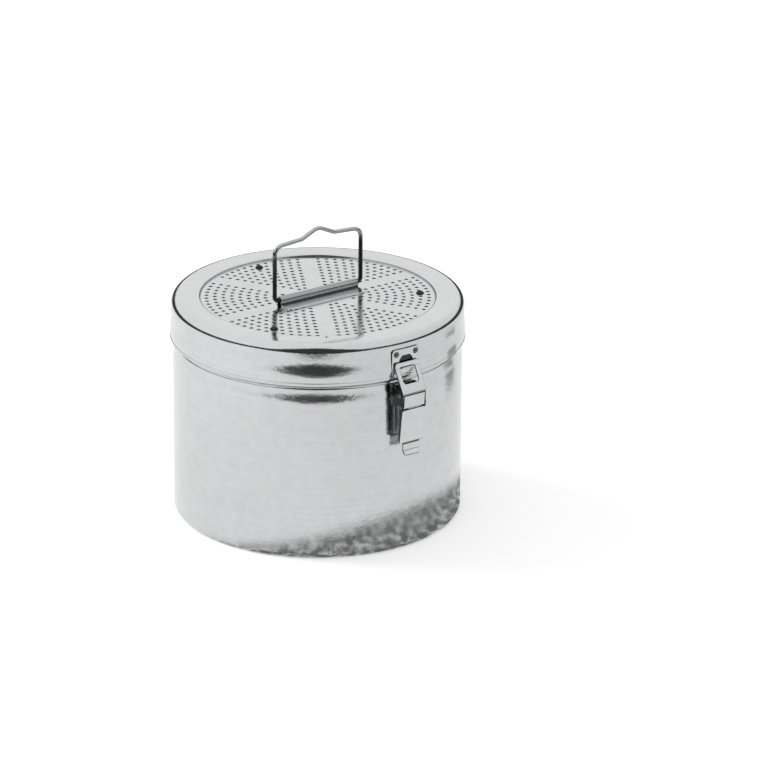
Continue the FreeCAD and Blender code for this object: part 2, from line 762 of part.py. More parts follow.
def latch_link():
    half_sheet = "link_sheet / 2"
    curl_out = "(link_pin_reach + %s)" % LINK_CURL
    curl_in = "(link_pin_reach + %s - link_curl_sheet)" % LINK_CURL
    plate = extruded("link_plate", "YZ_Plane", [
        at(BAR_OUTER, "hook_drop", "+ link_bar_tall"),
        at(BAR_OUTER, "hook_drop", "- " + half_sheet),
        at("fold_reach + " + half_sheet, "fold_drop"),
        at(curl_out, "link_pin_drop"),
        at(curl_in, "link_pin_drop"),
        at("fold_reach - " + half_sheet, "fold_drop"),
        at(BAR_INNER, "hook_drop", "- " + half_sheet),
        at(BAR_INNER, "hook_drop", "+ link_bar_tall"),
    ], "2 * link_half", "X")
    curl = front_rod("link_curl", "link_neck_half", "link_pin_reach", "link_pin_drop", LINK_CURL)
    blank = fuse("link_blank", plate, curl)
    far_out = "(fold_reach + 5)"
    window = front_box("link_window", "link_window_half", far_out, "lid_radius",
                       drop("link_window_low"), drop("hook_drop"))
    sides = front_box("link_sides", "link_half + 1", far_out, "lid_radius",
                      drop("link_pin_drop") + " - 5", drop("link_neck_drop"))
    neck = front_box("link_neck", "link_neck_half", far_out + " + 1", "lid_radius - 1",
                     drop("link_pin_drop") + " - 6", drop("link_neck_drop") + " + 1")
    bore = front_rod("link_bore", "link_half + 1", "link_pin_reach", "link_pin_drop",
                     "link_pin_wide / 2 + latch_pin_gap")
    return cut("latch_link", blank, fuse("link_cuts", window, cut("link_shoulders", sides, neck), bore))


def latch_base():
    low = drop("base_low_drop")
    top = drop("base_top_drop")
    band = curved_plate("base", -1, "base_half", "drum_radius", "base_sheet", low, top)
    ears = extruded("base_ears", "YZ_Plane", [
        at("drum_radius - 1", "base_top_drop"),
        at("lever_reach", "lever_drop", "+ base_ear_round"),
        at("lever_reach + base_ear_round", "lever_drop"),
        at("lever_reach", "lever_drop", "- base_ear_round"),
        at("drum_radius - 1", "base_ear_low"),
    ], "2 * base_half", "X")
    ends = front_rod("base_ear_ends", "base_half", "lever_reach", "lever_drop", "base_ear_round")
    between = front_box("base_between", "base_half - base_ear_sheet", "lever_reach + 2 * base_ear_round",
                        "drum_radius - 2", low + " - 1", top + " + 1")
    both = cut("base_both_ears", fuse("base_ear_blank", ears, ends), between)
    drum_space = rod("base_space", ("0", "0", low + " - 1"), "Z", "drum_radius",
                     "(%s) - (%s) + 2" % (top, low))
    bore = front_rod("base_bore", "base_half + 1", "lever_reach", "lever_drop",
                     "lever_pin_wide / 2 + latch_pin_gap")
    return cut("latch_base", fuse("base_blank", band, both), fuse("base_cuts", drum_space, bore))


def latch_lever():
    ears = extruded("lever_ears", "YZ_Plane", [
        at("lever_reach - lever_ear_round", "lever_drop"),
        at("lever_reach + lever_ear_round", "lever_drop"),
        at("lever_plate_reach", "lever_plate_drop"),
        at("lever_plate_reach - lever_sheet", "lever_ear_low", "- lever_sheet"),
        at("link_pin_reach - link_pin_wide", "link_pin_drop", "- lever_ear_round"),
    ], "2 * lever_half", "X")
    ends = front_rod("lever_ear_ends", "lever_half", "lever_reach", "lever_drop", "lever_ear_round")
    between = front_box("lever_between", "lever_half - lever_ear_sheet", "lever_plate_reach + 5",
                        "drum_radius", drop("lever_ear_low") + " - 5", drop("lever_drop") + " + 5")
    both = cut("lever_both_ears", fuse("lever_ear_blank", ears, ends), between)
    plate = extruded("lever_plate", "YZ_Plane", [
        at("lever_plate_reach", "lever_plate_drop"),
        at("lever_end_reach", "lever_end_drop"),
        at("lever_end_reach - lever_sheet", "lever_end_drop"),
        at("lever_plate_reach - lever_sheet", "lever_plate_drop"),
    ], "2 * lever_half", "X")
    tab = extruded("lever_tab", "YZ_Plane", [
        at("lever_end_reach", "lever_end_drop"),
        at("lever_end_reach", "tab_low", "+ tab_flare"),
        at("lever_end_reach + tab_flare", "tab_low", "+ lever_sheet / 2"),
        at("lever_end_reach + tab_flare", "tab_low", "- lever_sheet / 2"),
        at("lever_end_reach", "tab_low", "+ lever_sheet / 2"),
        at("lever_end_reach - lever_sheet", "tab_low", "+ tab_flare"),
        at("lever_end_reach - lever_sheet", "lever_end_drop"),
    ], "2 * tab_half", "X")
    lever_bore = front_rod("lever_bore", "lever_half + 1", "lever_reach", "lever_drop",
                           "lever_pin_wide / 2 + latch_pin_gap")
    link_bore = front_rod("lever_link_bore", "lever_half + 1", "link_pin_reach", "link_pin_drop",
                          "link_pin_wide / 2 + latch_pin_gap")
    blank = fuse("lever_blank", both, plate, tab)
    return cut("latch_lever", blank, fuse("lever_cuts", lever_bore, link_bore))


catch_plate()
latch_link()
latch_base()
latch_lever()
headed_pin("lever_pin", "lever_half", "-lever_reach", drop("lever_drop"), "lever_pin_wide",
           "lever_pin_wide * 1.6", "lever_ear_sheet")
headed_pin("link_pin", "lever_half", "-link_pin_reach", drop("link_pin_drop"), "link_pin_wide",
           "link_pin_wide * 1.6", "lever_ear_sheet")
side_rivets("catch_rivets", -1, "(lid_radius + catch_sheet)",
            "(%s - rivet_wide / 2 - catch_sheet)" % drop("catch_top_drop"), "catch_half - rivet_wide * 0.75")


def stacked_rivets(label, skin, levels):
    """Rivet heads one above another in the middle of the front."""
    return fuse(label, *[button_head("%s_head_%d" % (label, number), ("0", "-%s" % skin, level), "-Y",
                                     "rivet_wide", "rivet_top", "rivet_tall")
                         for number, level in enumerate(levels)])


stacked_rivets("latch_base_rivets", "(drum_radius + base_sheet)",
               [drop("base_ear_low") + " - rivet_wide / 2", drop("base_low_drop") + " + rivet_wide"])

# Divider: a plate across the drum, held in a channel on each side
DIVIDER_SLOT = "(divider_sheet / 2 + divider_gap)"
GUIDE_OUTSIDE = "(%s + guide_sheet)" % DIVIDER_SLOT


def divider_guide(label, side):
    """A channel from the wall inwards over the divider's edge: side is 1 at +X and -1 at -X."""
    inner = "(divider_half - guide_deep)"
    slot_end = "(divider_half + divider_gap)"
    tall = "guide_top - guide_low"
    blank_start = inner if side > 0 else "-drum_radius"
    slot_start = inner + " - 1" if side > 0 else "-" + slot_end
    blank = box(label + "_blank", (blank_start, "-" + GUIDE_OUTSIDE, "guide_low"),
                ("drum_radius - " + inner, "2 * " + GUIDE_OUTSIDE, tall))
    slot = box(label + "_slot", (slot_start, "-" + DIVIDER_SLOT, "guide_low - 1"),
               (slot_end + " - " + inner + " + 1", "2 * " + DIVIDER_SLOT, tall + " + 2"))
    inside = rod(label + "_inside", ("0", "0", "guide_low - 1"), "Z", "drum_inside", tall + " + 2")
    return cut(label, common(label + "_channel", blank, inside), slot)


box("divider_plate", ("-divider_half", "-divider_sheet / 2", "drum_sheet + floor_gap"),
    ("2 * divider_half", "divider_sheet", "divider_top - (drum_sheet + floor_gap)"))
divider_guide("divider_guide_left", -1)
divider_guide("divider_guide_right", 1)

NODES = [
    "drum_shell", "divider_plate", "divider_guide_left", "divider_guide_right",
    "drum_hinge_leaf", "drum_hinge_rivets", "hinge_pin", "latch_base", "latch_base_rivets",
    "lid_shell", "vent_plate", "vent_studs", "filter_disc", "filter_retainer", "retainer_nuts",
    "handle_bracket", "lid_hinge_leaf", "lid_hinge_rivets", "catch_plate", "catch_rivets",
    "handle_bail", "latch_lever", "lever_pin", "link_pin", "latch_link",
]

doc.recompute()
for thing in doc.Objects:
    if "Invalid" in thing.State or "Error" in thing.State:
        raise RuntimeError("%s did not build: %s" % (thing.Label, thing.State))

os.makedirs("parts", exist_ok=True)
for node in NODES:
    shape = doc.getObjectsByLabel(node)[0].Shape
    if shape.isNull() or not shape.isValid():
        raise RuntimeError("%s has no valid shape" % node)
    shape.exportStep("parts/%s.step" % node)
print("wrote %d nodes" % len(NODES))
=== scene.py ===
import json
import math

import bmesh
import bpy
from mathutils import Matrix, Vector

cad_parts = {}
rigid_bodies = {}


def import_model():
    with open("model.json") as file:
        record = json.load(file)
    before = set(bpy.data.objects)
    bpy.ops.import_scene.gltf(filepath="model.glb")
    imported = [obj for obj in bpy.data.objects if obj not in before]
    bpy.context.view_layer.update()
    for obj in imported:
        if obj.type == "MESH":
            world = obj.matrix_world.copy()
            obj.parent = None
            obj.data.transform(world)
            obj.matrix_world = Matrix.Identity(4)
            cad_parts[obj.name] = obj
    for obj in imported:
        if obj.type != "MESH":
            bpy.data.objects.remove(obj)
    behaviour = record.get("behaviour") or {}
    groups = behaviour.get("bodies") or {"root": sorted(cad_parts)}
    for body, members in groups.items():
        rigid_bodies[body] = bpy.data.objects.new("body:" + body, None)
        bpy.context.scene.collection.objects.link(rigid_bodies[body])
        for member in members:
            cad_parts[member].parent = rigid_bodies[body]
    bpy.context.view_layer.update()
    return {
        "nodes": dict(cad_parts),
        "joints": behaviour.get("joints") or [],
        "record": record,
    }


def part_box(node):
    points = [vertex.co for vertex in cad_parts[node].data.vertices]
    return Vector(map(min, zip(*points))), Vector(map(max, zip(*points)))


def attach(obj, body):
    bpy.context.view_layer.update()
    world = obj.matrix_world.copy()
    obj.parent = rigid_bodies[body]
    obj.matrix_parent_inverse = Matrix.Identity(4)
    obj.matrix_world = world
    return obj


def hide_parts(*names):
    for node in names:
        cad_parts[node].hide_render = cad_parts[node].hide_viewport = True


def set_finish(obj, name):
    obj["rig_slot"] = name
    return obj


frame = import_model()

# Lengths are in millimetres and turned into metres when a mesh is made. World, floor and lamps are in metres.
# +Z is up and the latch faces -Y.
MM = 0.001


def span(node):
    """Lowest and highest corner of a CAD node."""
    low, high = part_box(node)
    return low / MM, high / MM


def pivot(joint):
    """Place of a joint."""
    return [Vector(j["pos_m"]) / MM for j in frame["joints"] if j["name"] == joint][0]


LID_LOW, LID_HIGH = span("lid_shell")
DRUM_HIGH = span("drum_shell")[1]
VENT_LOW, VENT_HIGH = span("vent_plate")
BAIL_LOW, BAIL_HIGH = span("handle_bail")

SHEET = 0.7
FITTING_SHEET = 0.8
BEAD_PROUD = 0.6
DISC_GAP = 0.05
LID_RADIUS = LID_HIGH.x - BEAD_PROUD
LID_TOP = LID_HIGH.z
DRUM_RADIUS = DRUM_HIGH.x
DISC_RADIUS = VENT_HIGH.y
DISC = VENT_HIGH.z
RECESS_RADIUS = DISC_RADIUS + DISC_GAP
WIRE = BAIL_HIGH.y - BAIL_LOW.y


# Outlines: a corner is x, y and the radius of its bend

NOTHING = 1e-9
STRAIGHT = 1e-3
BEND_ROOM = 0.48
LINE_TURN = math.radians(7)
FOLD_TURN = math.radians(9)
WIRE_TURN = math.radians(5)
VENT_HOLE_SIDES = 16
HOLE_SIDES = 24
CLOTH_SIDES = 160
DISC_SIDES = 240


def rounded_line(corners, closed, turn=LINE_TURN):
    """Points of a line whose corners are rounded to their bend, as far as there is room."""
    points = []
    count = len(corners)
    for i, (x, y, bend) in enumerate(corners):
        corner = Vector((x, y))
        before = Vector(corners[i - 1][:2]) - corner
        after = Vector(corners[(i + 1) % count][:2]) - corner
        side_long = min(before.length, after.length)
        at_end = not closed and i in (0, count - 1)
        if bend == 0 or at_end or side_long < NOTHING:
            points.append(corner)
            continue
        before.normalize()
        after.normalize()
        half = before.angle(after) / 2
        swing = math.pi - 2 * half
        if swing < STRAIGHT:
            points.append(corner)
            continue
        bend = min(bend, BEND_ROOM * side_long * math.tan(half))
        middle = corner + (before + after).normalized() * (bend / math.sin(half))
        start = corner + before * (bend / math.tan(half)) - middle
        side = 1 if before.x * after.y - before.y * after.x < 0 else -1
        steps = max(2, math.ceil(swing / turn))
        for step in range(steps + 1):
            angle = side * swing * step / steps
            points.append(middle + Vector((start.x * math.cos(angle) - start.y * math.sin(angle),
                                           start.x * math.sin(angle) + start.y * math.cos(angle))))
    return points


def mirrored(right):
    """A closed outline that is the same on both sides of x = 0, from its right corners, lowest first."""
    left = [(-x, y, bend) for x, y, bend in reversed(right)]
    return rounded_line(left[-1:] + right + left[:-1], True)


def rectangle(half, low, high, low_bend, high_bend):
    return mirrored([(half, low, low_bend), (half, high, high_bend)])


def circle(radius, centre=(0, 0), sides=HOLE_SIDES):
    points = []
    for i in range(sides):
        angle = 2 * math.pi * i / sides
        points.append(Vector((centre[0] + radius * math.cos(angle), centre[1] + radius * math.sin(angle))))
    return points


def polar(radius, angle):
    return Vector((radius * math.cos(angle), radius * math.sin(angle)))


# Meshes: a part is a list of points and a list of faces

SAME_POINT = 1e-4
ON_CUT = 1e-5
SHELL_CREASE = 40
SMALL_CREASE = 32
BLANK_CREASE = 16
SHELL_SIDES = 288
SMALL_SIDES = 40
WIRE_SIDES = 28


def shaded(mesh, crease):
    """Smooth shading with crisp edges where the surface turns by more than the crease, in degrees."""
    work = bmesh.new()
    work.from_mesh(mesh)
    bmesh.ops.remove_doubles(work, verts=work.verts, dist=SAME_POINT * MM)
    bmesh.ops.recalc_face_normals(work, faces=work.faces)
    for face in work.faces:
        face.smooth = True
    for edge in work.edges:
        sharp = len(edge.link_faces) == 2 and edge.calc_face_angle(0) > math.radians(crease)
        edge.smooth = not sharp
    work.to_mesh(mesh)
    work.free()


def piece(name, points, faces, body, slot, nodes, crease=SMALL_CREASE):
    """A part as a piece that rides on a body and stands for CAD nodes."""
    mesh = bpy.data.meshes.new(name)
    mesh.from_pydata([tuple(point * MM) for point in points], [], faces)
    shaded(mesh, crease)
    made = bpy.data.objects.new(name, mesh)
    bpy.context.scene.collection.objects.link(made)
    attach(made, body)
    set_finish(made, slot)
    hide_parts(*nodes)
    return made


def joined(*parts):
    """Several parts as one."""
    points = []
    faces = []
    for part_points, part_faces in parts:
        first = len(points)
        points += part_points
        faces += [tuple(first + i for i in face) for face in part_faces]
    return points, faces


def placed(part, place):
    """The same part with every point moved by a function."""
    points, faces = part
    return [place(point) for point in points], faces


def moved(part, x, y, z):
    return placed(part, lambda p: Vector((p.x + x, p.y + y, p.z + z)))


def along_x(part, x, y, z):
    """A part set on a point and turned so that its own z runs along X."""
    return placed(part, lambda p: Vector((x + p.z, y + p.x, z + p.y)))


def lathed(outline, segments, closed):
    """An outline of radius and height turned about Z."""
    points = []
    rings = []
    for radius, level in outline:
        first = len(points)
        if radius < NOTHING:
            points.append(Vector((0, 0, level)))
            rings.append([first] * segments)
            continue
        for i in range(segments):
            angle = 2 * math.pi * i / segments
            points.append(Vector((radius * math.cos(angle), radius * math.sin(angle), level)))
        rings.append(list(range(first, first + segments)))
    following = rings[1:] + rings[:1] if closed else rings[1:]
    faces = []
    for one, two in zip(rings, following):
        for i in range(segments):
            j = (i + 1) % segments
            corners = tuple(dict.fromkeys((one[i], one[j], two[j], two[i])))
            if len(corners) > 2:
                faces.append(corners)
    return points, faces


def swept_ring(path, radius, sides=WIRE_SIDES):
    """A round wire along a closed path that lies in the XZ plane."""
    count = len(path)
    points = []
    across = Vector((0, 1, 0))
    for i, spot in enumerate(path):
        out = (path[(i + 1) % count] - path[i - 1]).normalized().cross(across)
        for k in range(sides):
            angle = 2 * math.pi * k / sides
            points.append(spot + (across * math.cos(angle) + out * math.sin(angle)) * radius)
    faces = []
    for i in range(count):
        here = i * sides
        ahead = (i + 1) % count * sides
        for k in range(sides):
            beside = (k + 1) % sides
            faces.append((here + k, here + beside, ahead + beside, ahead + k))
    return points, faces


# Sheet metal: a flat blank, bent along a fold or round a wall

NEAR_POINT = 1e-6
LEAST_LEAN = 0.5
WRAP_STEP = 0.8


def blank(outline, windows, thick, edge, cuts_x=(), cuts_y=()):
    """A flat blank of sheet metal with its windows and softened edges, cut into strips for bending."""
    curve = bpy.data.curves.new("blank", "CURVE")
    curve.dimensions = "2D"
    curve.fill_mode = "BOTH"
    curve.extrude = thick / 2 - edge
    curve.bevel_depth = edge
    curve.bevel_resolution = 1
    curve.offset = -edge
    for loop in [outline] + list(windows):
        spline = curve.splines.new("POLY")
        spline.points.add(len(loop) - 1)
        for point, spot in zip(spline.points, loop):
            point.co = (spot.x, spot.y, 0, 1)
        spline.use_cyclic_u = True
    holder = bpy.data.objects.new("blank", curve)
    bpy.context.scene.collection.objects.link(holder)
    bpy.context.view_layer.update()
    mesh = bpy.data.meshes.new_from_object(holder)
    bpy.data.objects.remove(holder)
    work = bmesh.new()
    work.from_mesh(mesh)
    bmesh.ops.remove_doubles(work, verts=work.verts, dist=SAME_POINT)
    for axis, cuts in ((Vector((1, 0, 0)), cuts_x), (Vector((0, 1, 0)), cuts_y)):
        for cut in cuts:
            every = work.verts[:] + work.edges[:] + work.faces[:]
            bmesh.ops.bisect_plane(work, geom=every, plane_co=axis * cut, plane_no=axis, dist=ON_CUT)
    points = [vertex.co.copy() for vertex in work.verts]
    work.verts.index_update()
    faces = [tuple(vertex.index for vertex in face.verts) for face in work.faces]
    work.free()
    return points, faces


class Fold:
    """The side view of a folded sheet: a rounded line that a blank's length follows."""

    def __init__(self, corners):
        self.line = rounded_line(corners, False, FOLD_TURN)
        self.at = [0.0]
        for one, two in zip(self.line, self.line[1:]):
            self.at.append(self.at[-1] + (two - one).length)
        self.long = self.at[-1]

    def stations(self):
        return self.at[1:-1]

    def direction(self, i):
        return (self.line[i + 1] - self.line[i]).normalized()

    def place(self, along, off):
        """The point so far along the line and so far off it, to its left, mitred at the line's points."""
        along = min(max(along, 0.0), self.long)
        last = len(self.line) - 2
        i = max(n for n in range(last + 1) if self.at[n] <= along + NOTHING)
        step = self.line[i + 1] - self.line[i]
        share = (along - self.at[i]) / step.length
        here = self.direction(i)
        near = here
        if share < NEAR_POINT and i > 0:
            near = here + self.direction(i - 1)
        elif share > 1 - NEAR_POINT and i < last:
            near = here + self.direction(i + 1)
        near = near.normalized()
        stretch = 1 / max(near.dot(here), LEAST_LEAN)
        return self.line[i] + step * share + Vector((-near.y, near.x)) * off * stretch


def folded(part, fold, side=1):
    """A blank bent along a fold. Side -1 puts its upper face to the right of the line."""
    def place(point):
        spot = fold.place(point.y, side * point.z)
        return Vector((point.x, spot.x, spot.y))
    return placed(part, place)


def wrapped(part, radius):
    """A blank bent round the front of the drum: x runs round, y is the level, z is off the skin."""
    def place(point):
        angle = point.x / radius
        reach = radius + point.z
        return Vector((reach * math.sin(angle), -reach * math.cos(angle), point.y))
    return placed(part, place)


def spread(half):
    """Even cuts across a blank that is to be wrapped."""
    count = max(1, math.ceil(2 * half / WRAP_STEP))
    return [2 * half * i / count - half for i in range(1, count)]


# Drum and lid

# the drum: rim and neck, shoulder under the lid, foot and floor
NECK_IN = 1.4
SHOULDER_DROP = 1.9
SHOULDER_TALL = 1.4
SHOULDER_BEND = 1.2
SHOULDER_INSIDE_TOP = 1.2
SHOULDER_INSIDE_LOW = 0.3
DRAW_IN = 0.5
DRAW_IN_LOW = 10.0
DRAW_IN_TALL = 6.8
LIP_TALL = 0.6
LIP_OUT = 0.3
LIP_TOP_OUT = 0.2
FOOT_BEND = 2.9
FOOT_BEND_INSIDE = 2.3
STANDING_RING = 5.4
RING_SLOPE = 1.6
RING_SHIFT = 0.2
FLOOR_RISE = 0.35

# the lid: bead and its mouth, flare above it, rounded top, ledge that the disc lies on
BEAD_TALL = 1.5
BEAD_BEND = 0.62
BEAD_MOUTH = 0.3
BEAD_MOUTH_TALL = 0.2
BEAD_GROOVE = 0.1
BEAD_GROOVE_TALL = 0.15
FLARE = 0.5
FLARE_LOW = 3.4
FLARE_TALL = 8.6
LID_ROUND = 4.4
RECESS_ROUND = 1.1
LEDGE = 1.6
EASE_STEPS = 12


def eased(foot, top, low, tall):
    """A wall that eases from one radius at its foot to another at its top."""
    corners = []
    for i in range(EASE_STEPS + 1):
        share = i / EASE_STEPS
        corners.append((top + (foot - top) * (1 + math.cos(math.pi * share)) / 2, low + tall * share, 0))
    return corners


def drum_shell():
    inside = DRUM_RADIUS - SHEET
    waist = DRUM_RADIUS - DRAW_IN
    neck = DRUM_RADIUS - NECK_IN
    neck_inside = neck - SHEET
    rim = DRUM_HIGH.z
    shoulder = LID_LOW.z - SHOULDER_DROP
    ring = DRUM_RADIUS - STANDING_RING
    dish = ring - RING_SLOPE
    floor_top = FLOOR_RISE + SHEET
    outline = rounded_line([
        (0, FLOOR_RISE, 0), (dish, FLOOR_RISE, 0.6), (ring, 0, 0.6), (DRUM_RADIUS, 0, FOOT_BEND),
        *eased(DRUM_RADIUS, waist, LID_LOW.z - DRAW_IN_LOW, DRAW_IN_TALL),
        (waist, shoulder, SHOULDER_BEND), (neck, shoulder + SHOULDER_TALL, SHOULDER_BEND),
        (neck, rim - LIP_TALL, 0.3), (neck + LIP_OUT, rim - LIP_TALL / 2, 0.2),
        (neck + LIP_TOP_OUT, rim, 0.2), (neck_inside, rim, 0.3),
        (neck_inside, shoulder + SHOULDER_INSIDE_TOP, 1.0), (inside, shoulder - SHOULDER_INSIDE_LOW, 1.0),
        (inside, SHEET, FOOT_BEND_INSIDE), (ring - RING_SHIFT, SHEET, 0.5),
        (dish - RING_SHIFT, floor_top, 0.5), (0, floor_top, 0),
    ], False)
    part = lathed(outline, SHELL_SIDES, closed=False)
    return piece("drum_pressing", *part, "drum", "drum_steel", ["drum_shell"], SHELL_CREASE)


def lid_shell():
    low = LID_LOW.z
    inside = LID_RADIUS - SHEET
    bead = LID_RADIUS + BEAD_PROUD
    bead_top = low + BEAD_TALL
    flared = LID_RADIUS + FLARE
    under = LID_TOP - SHEET
    ledge = VENT_LOW.z
    under_ledge = ledge - SHEET
    ledge_end = RECESS_RADIUS - LEDGE
    well = RECESS_RADIUS + SHEET
    outline = rounded_line([
        (inside, low + BEAD_MOUTH_TALL, 0.2), (inside + BEAD_MOUTH, low, 0.25),
        (bead, low, BEAD_BEND), (bead, bead_top, BEAD_BEND),
        (flared - BEAD_GROOVE, bead_top + BEAD_GROOVE_TALL, 0.2),
        *eased(flared, LID_RADIUS, low + FLARE_LOW, FLARE_TALL),
        (LID_RADIUS, LID_TOP, LID_ROUND), (RECESS_RADIUS, LID_TOP, RECESS_ROUND),
        (RECESS_RADIUS, ledge, 0.15), (ledge_end, ledge, 0.2), (ledge_end, under_ledge, 0.2),
        (well, under_ledge, 0.6), (well, under, 0.6), (inside, under, LID_ROUND - SHEET),
    ], True)
    part = lathed(outline, SHELL_SIDES, closed=True)
    return piece("lid_pressing", *part, "lid", "lid_steel", ["lid_shell"], SHELL_CREASE)


# Perforated disc, its rivets, the cloth filter

SECTORS = 6
STUDS = 3
STUD_CIRCLE = 49.0
STUD_HEAD = 4.0
STUD_SHANK = 1.8
STUD_HOLE = 1.9
FIRST_ROW = 13.0
ROW_PITCH = 4.0
ROWS = 11
STRIP_OFFSET = 5.0
HOLE_WIDE = 1.9
DISC_EDGE = 0.12
CLOTH_EDGE = 0.2
CLOTH_SLACK = 0.1


def stud_spots():
    return [polar(STUD_CIRCLE, math.radians(90 + 360 / STUDS * i)) for i in range(STUDS)]


def stud_holes():
    return [circle(STUD_HOLE / 2, spot) for spot in stud_spots()]


def vent_holes():
    """Each row of a sector has one hole more than the row inside it, and the studs take some holes' place."""
    studs = stud_spots()
    sector_turn = 2 * math.pi / SECTORS
    for row in range(ROWS):
        radius = FIRST_ROW + ROW_PITCH * row
        lean = math.asin(STRIP_OFFSET / radius)
        step = (sector_turn - 2 * lean) / (row + 1)
        for sector in range(SECTORS):
            for number in range(row + 2):
                spot = polar(radius, sector_turn * sector + lean + number * step)
                if min((spot - stud).length for stud in studs) > STUD_HEAD / 2:
                    yield circle(HOLE_WIDE / 2, spot, VENT_HOLE_SIDES)


def vent_plate():
    thick = VENT_HIGH.z - VENT_LOW.z
    part = blank(circle(DISC_RADIUS, sides=DISC_SIDES), list(vent_holes()) + stud_holes(), thick, DISC_EDGE)
    part = moved(part, 0, 0, (VENT_HIGH.z + VENT_LOW.z) / 2)
    return piece("vent_disc", *part, "lid", "vent_steel", ["vent_plate"], BLANK_CREASE)


HEAD_STEPS = 8
HEAD_RIM = 0.05
HEAD_SUNK = 0.02


def button(wide, tall, shank_wide, shank_long):
    """A domed rivet head that stands on z = 0, with its shank below."""
    ball = ((wide / 2) ** 2 + tall ** 2) / (2 * tall)
    reach = math.asin(wide / 2 / ball)
    outline = [Vector((0, tall))]
    for i in range(1, HEAD_STEPS + 1):
        angle = reach * i / HEAD_STEPS
        outline.append(Vector((ball * math.sin(angle), tall - ball + ball * math.cos(angle))))
    outline += [Vector((wide / 2 - HEAD_RIM, -HEAD_SUNK)), Vector((shank_wide / 2, -HEAD_SUNK)),
                Vector((shank_wide / 2, -shank_long)), Vector((0, -shank_long))]
    return lathed(outline, SMALL_SIDES, closed=False)


def vent_studs():
    low, high = span("vent_studs")
    rivet = button(STUD_HEAD, high.z - DISC, STUD_SHANK, DISC - low.z)
    parts = [moved(rivet, spot.x, spot.y, DISC) for spot in stud_spots()]
    return piece("vent_rivets", *joined(*parts), "lid", "pin_steel", ["vent_studs"])


def filter_cloth():
    low, high = span("filter_disc")
    radius = high.x
    thick = high.z - low.z - CLOTH_SLACK
    part = blank(circle(radius, sides=CLOTH_SIDES), stud_holes(), thick, CLOTH_EDGE)
    part = moved(part, 0, 0, (low.z + high.z) / 2)
    made = piece("filter_cloth", *part, "lid", "filter_cloth", ["filter_disc"])
    return made


# Wire handle and the saddle that it turns in

LEG_BEND = 2.2
GRIP_LEVEL = 29.6
GRIP_BEND = 4.6
DIP_OUT = 9.4
DIP_LEVEL = 30.6
DIP_BEND = 3.0
HUMP_BEND = 6.0
HUMP_TRIES = 30
SADDLE_GAP = 0.08
SADDLE_BEND = 0.7
SADDLE_EDGE = 0.15


def handle_bail():
    foot = pivot("handle_fold").z
    half = BAIL_HIGH.x - WIRE / 2
    top = BAIL_HIGH.z - WIRE / 2
    dip = DISC + DIP_LEVEL
    # the hump is round, so its corner stands above its top, and the height of the corner sets how steep it is
    peak = top
    for _ in range(HUMP_TRIES):
        lean = math.atan2(DIP_OUT, peak - dip)
        peak = top + HUMP_BEND / math.sin(lean) - HUMP_BEND
    right = [(half, foot, LEG_BEND), (half, DISC + GRIP_LEVEL, GRIP_BEND), (DIP_OUT, dip, DIP_BEND)]
    left = [(-x, z, bend) for x, z, bend in reversed(right)]
    line = rounded_line(right + [(0, peak, HUMP_BEND)] + left, True, WIRE_TURN)
    path = [Vector((p.x, 0, p.y)) for p in line]
    return piece("handle_wire", *swept_ring(path, WIRE / 2), "handle", "wire_steel", ["handle_bail"])


def handle_bracket():
    low, high = span("handle_bracket")
    seat = DISC + SHEET / 2
    arch = WIRE / 2 + SADDLE_GAP + SHEET / 2
    top = pivot("handle_fold").z + arch
    fold = Fold([(low.y, seat, 0), (-arch, seat, SADDLE_BEND), (-arch, top, arch), (arch, top, arch),
                 (arch, seat, SADDLE_BEND), (high.y, seat, 0)])
    # the blank runs from the wide front flange over the wire to the narrow back flange
    outline = rectangle(high.x, 0, fold.long, 2.0, 1.2)
    part = folded(blank(outline, [], SHEET, SADDLE_EDGE, cuts_y=fold.stations()), fold)
    return piece("handle_saddle", *part, "lid", "fitting_steel", ["handle_bracket"], BLANK_CREASE)


# Latch: catch on the lid, link, lever, and base on the drum

LEVER_PIN = pivot("latch_lever_turn")
LINK_PIN = pivot("latch_link_turn")
PLATE_EDGE = 0.2
SMALL_EDGE = 0.12

HOOK_DROP = 13.0
# the link's bar rests on the tongue at this level
HOOK = DISC - HOOK_DROP
CATCH_HALF = 7.75
TONGUE_HALF = 3.4
TONGUE_ROOT = 2.4
TONGUE_BEND = 0.5
CATCH_WINDOW_HALF = 3.7
CATCH_WINDOW_SIDE = 3.4
CATCH_WINDOW_TOP = 2.2
CATCH_WINDOW_TALL = 5.4


def catch_plate():
    low, high = span("catch_plate")
    skin = LID_RADIUS + FITTING_SHEET / 2
    tongue_level = HOOK - FITTING_SHEET / 2
    outline = rectangle(CATCH_HALF, low.z, high.z, 0.6, 1.6)
    window = mirrored([(CATCH_WINDOW_HALF, HOOK, 0.3), (CATCH_WINDOW_HALF, HOOK + CATCH_WINDOW_SIDE, 0.8),
                       (CATCH_WINDOW_TOP, HOOK + CATCH_WINDOW_TALL, 1.2)])
    band = wrapped(blank(outline, [window], FITTING_SHEET, PLATE_EDGE, cuts_x=spread(CATCH_HALF)), skin)
    # the tongue is lanced out of the window above it and bent forward
    fold = Fold([(-skin, HOOK - TONGUE_ROOT, 0), (-skin, tongue_level, TONGUE_BEND),
                 (low.y, tongue_level, 0)])
    strip = rectangle(TONGUE_HALF, 0, fold.long, 0.4, 0.4)
    tongue = folded(blank(strip, [], FITTING_SHEET, SMALL_EDGE, cuts_y=fold.stations()), fold)
    part = joined(band, tongue)
    return piece("catch_hook", *part, "lid", "fitting_steel", ["catch_plate"], BLANK_CREASE)


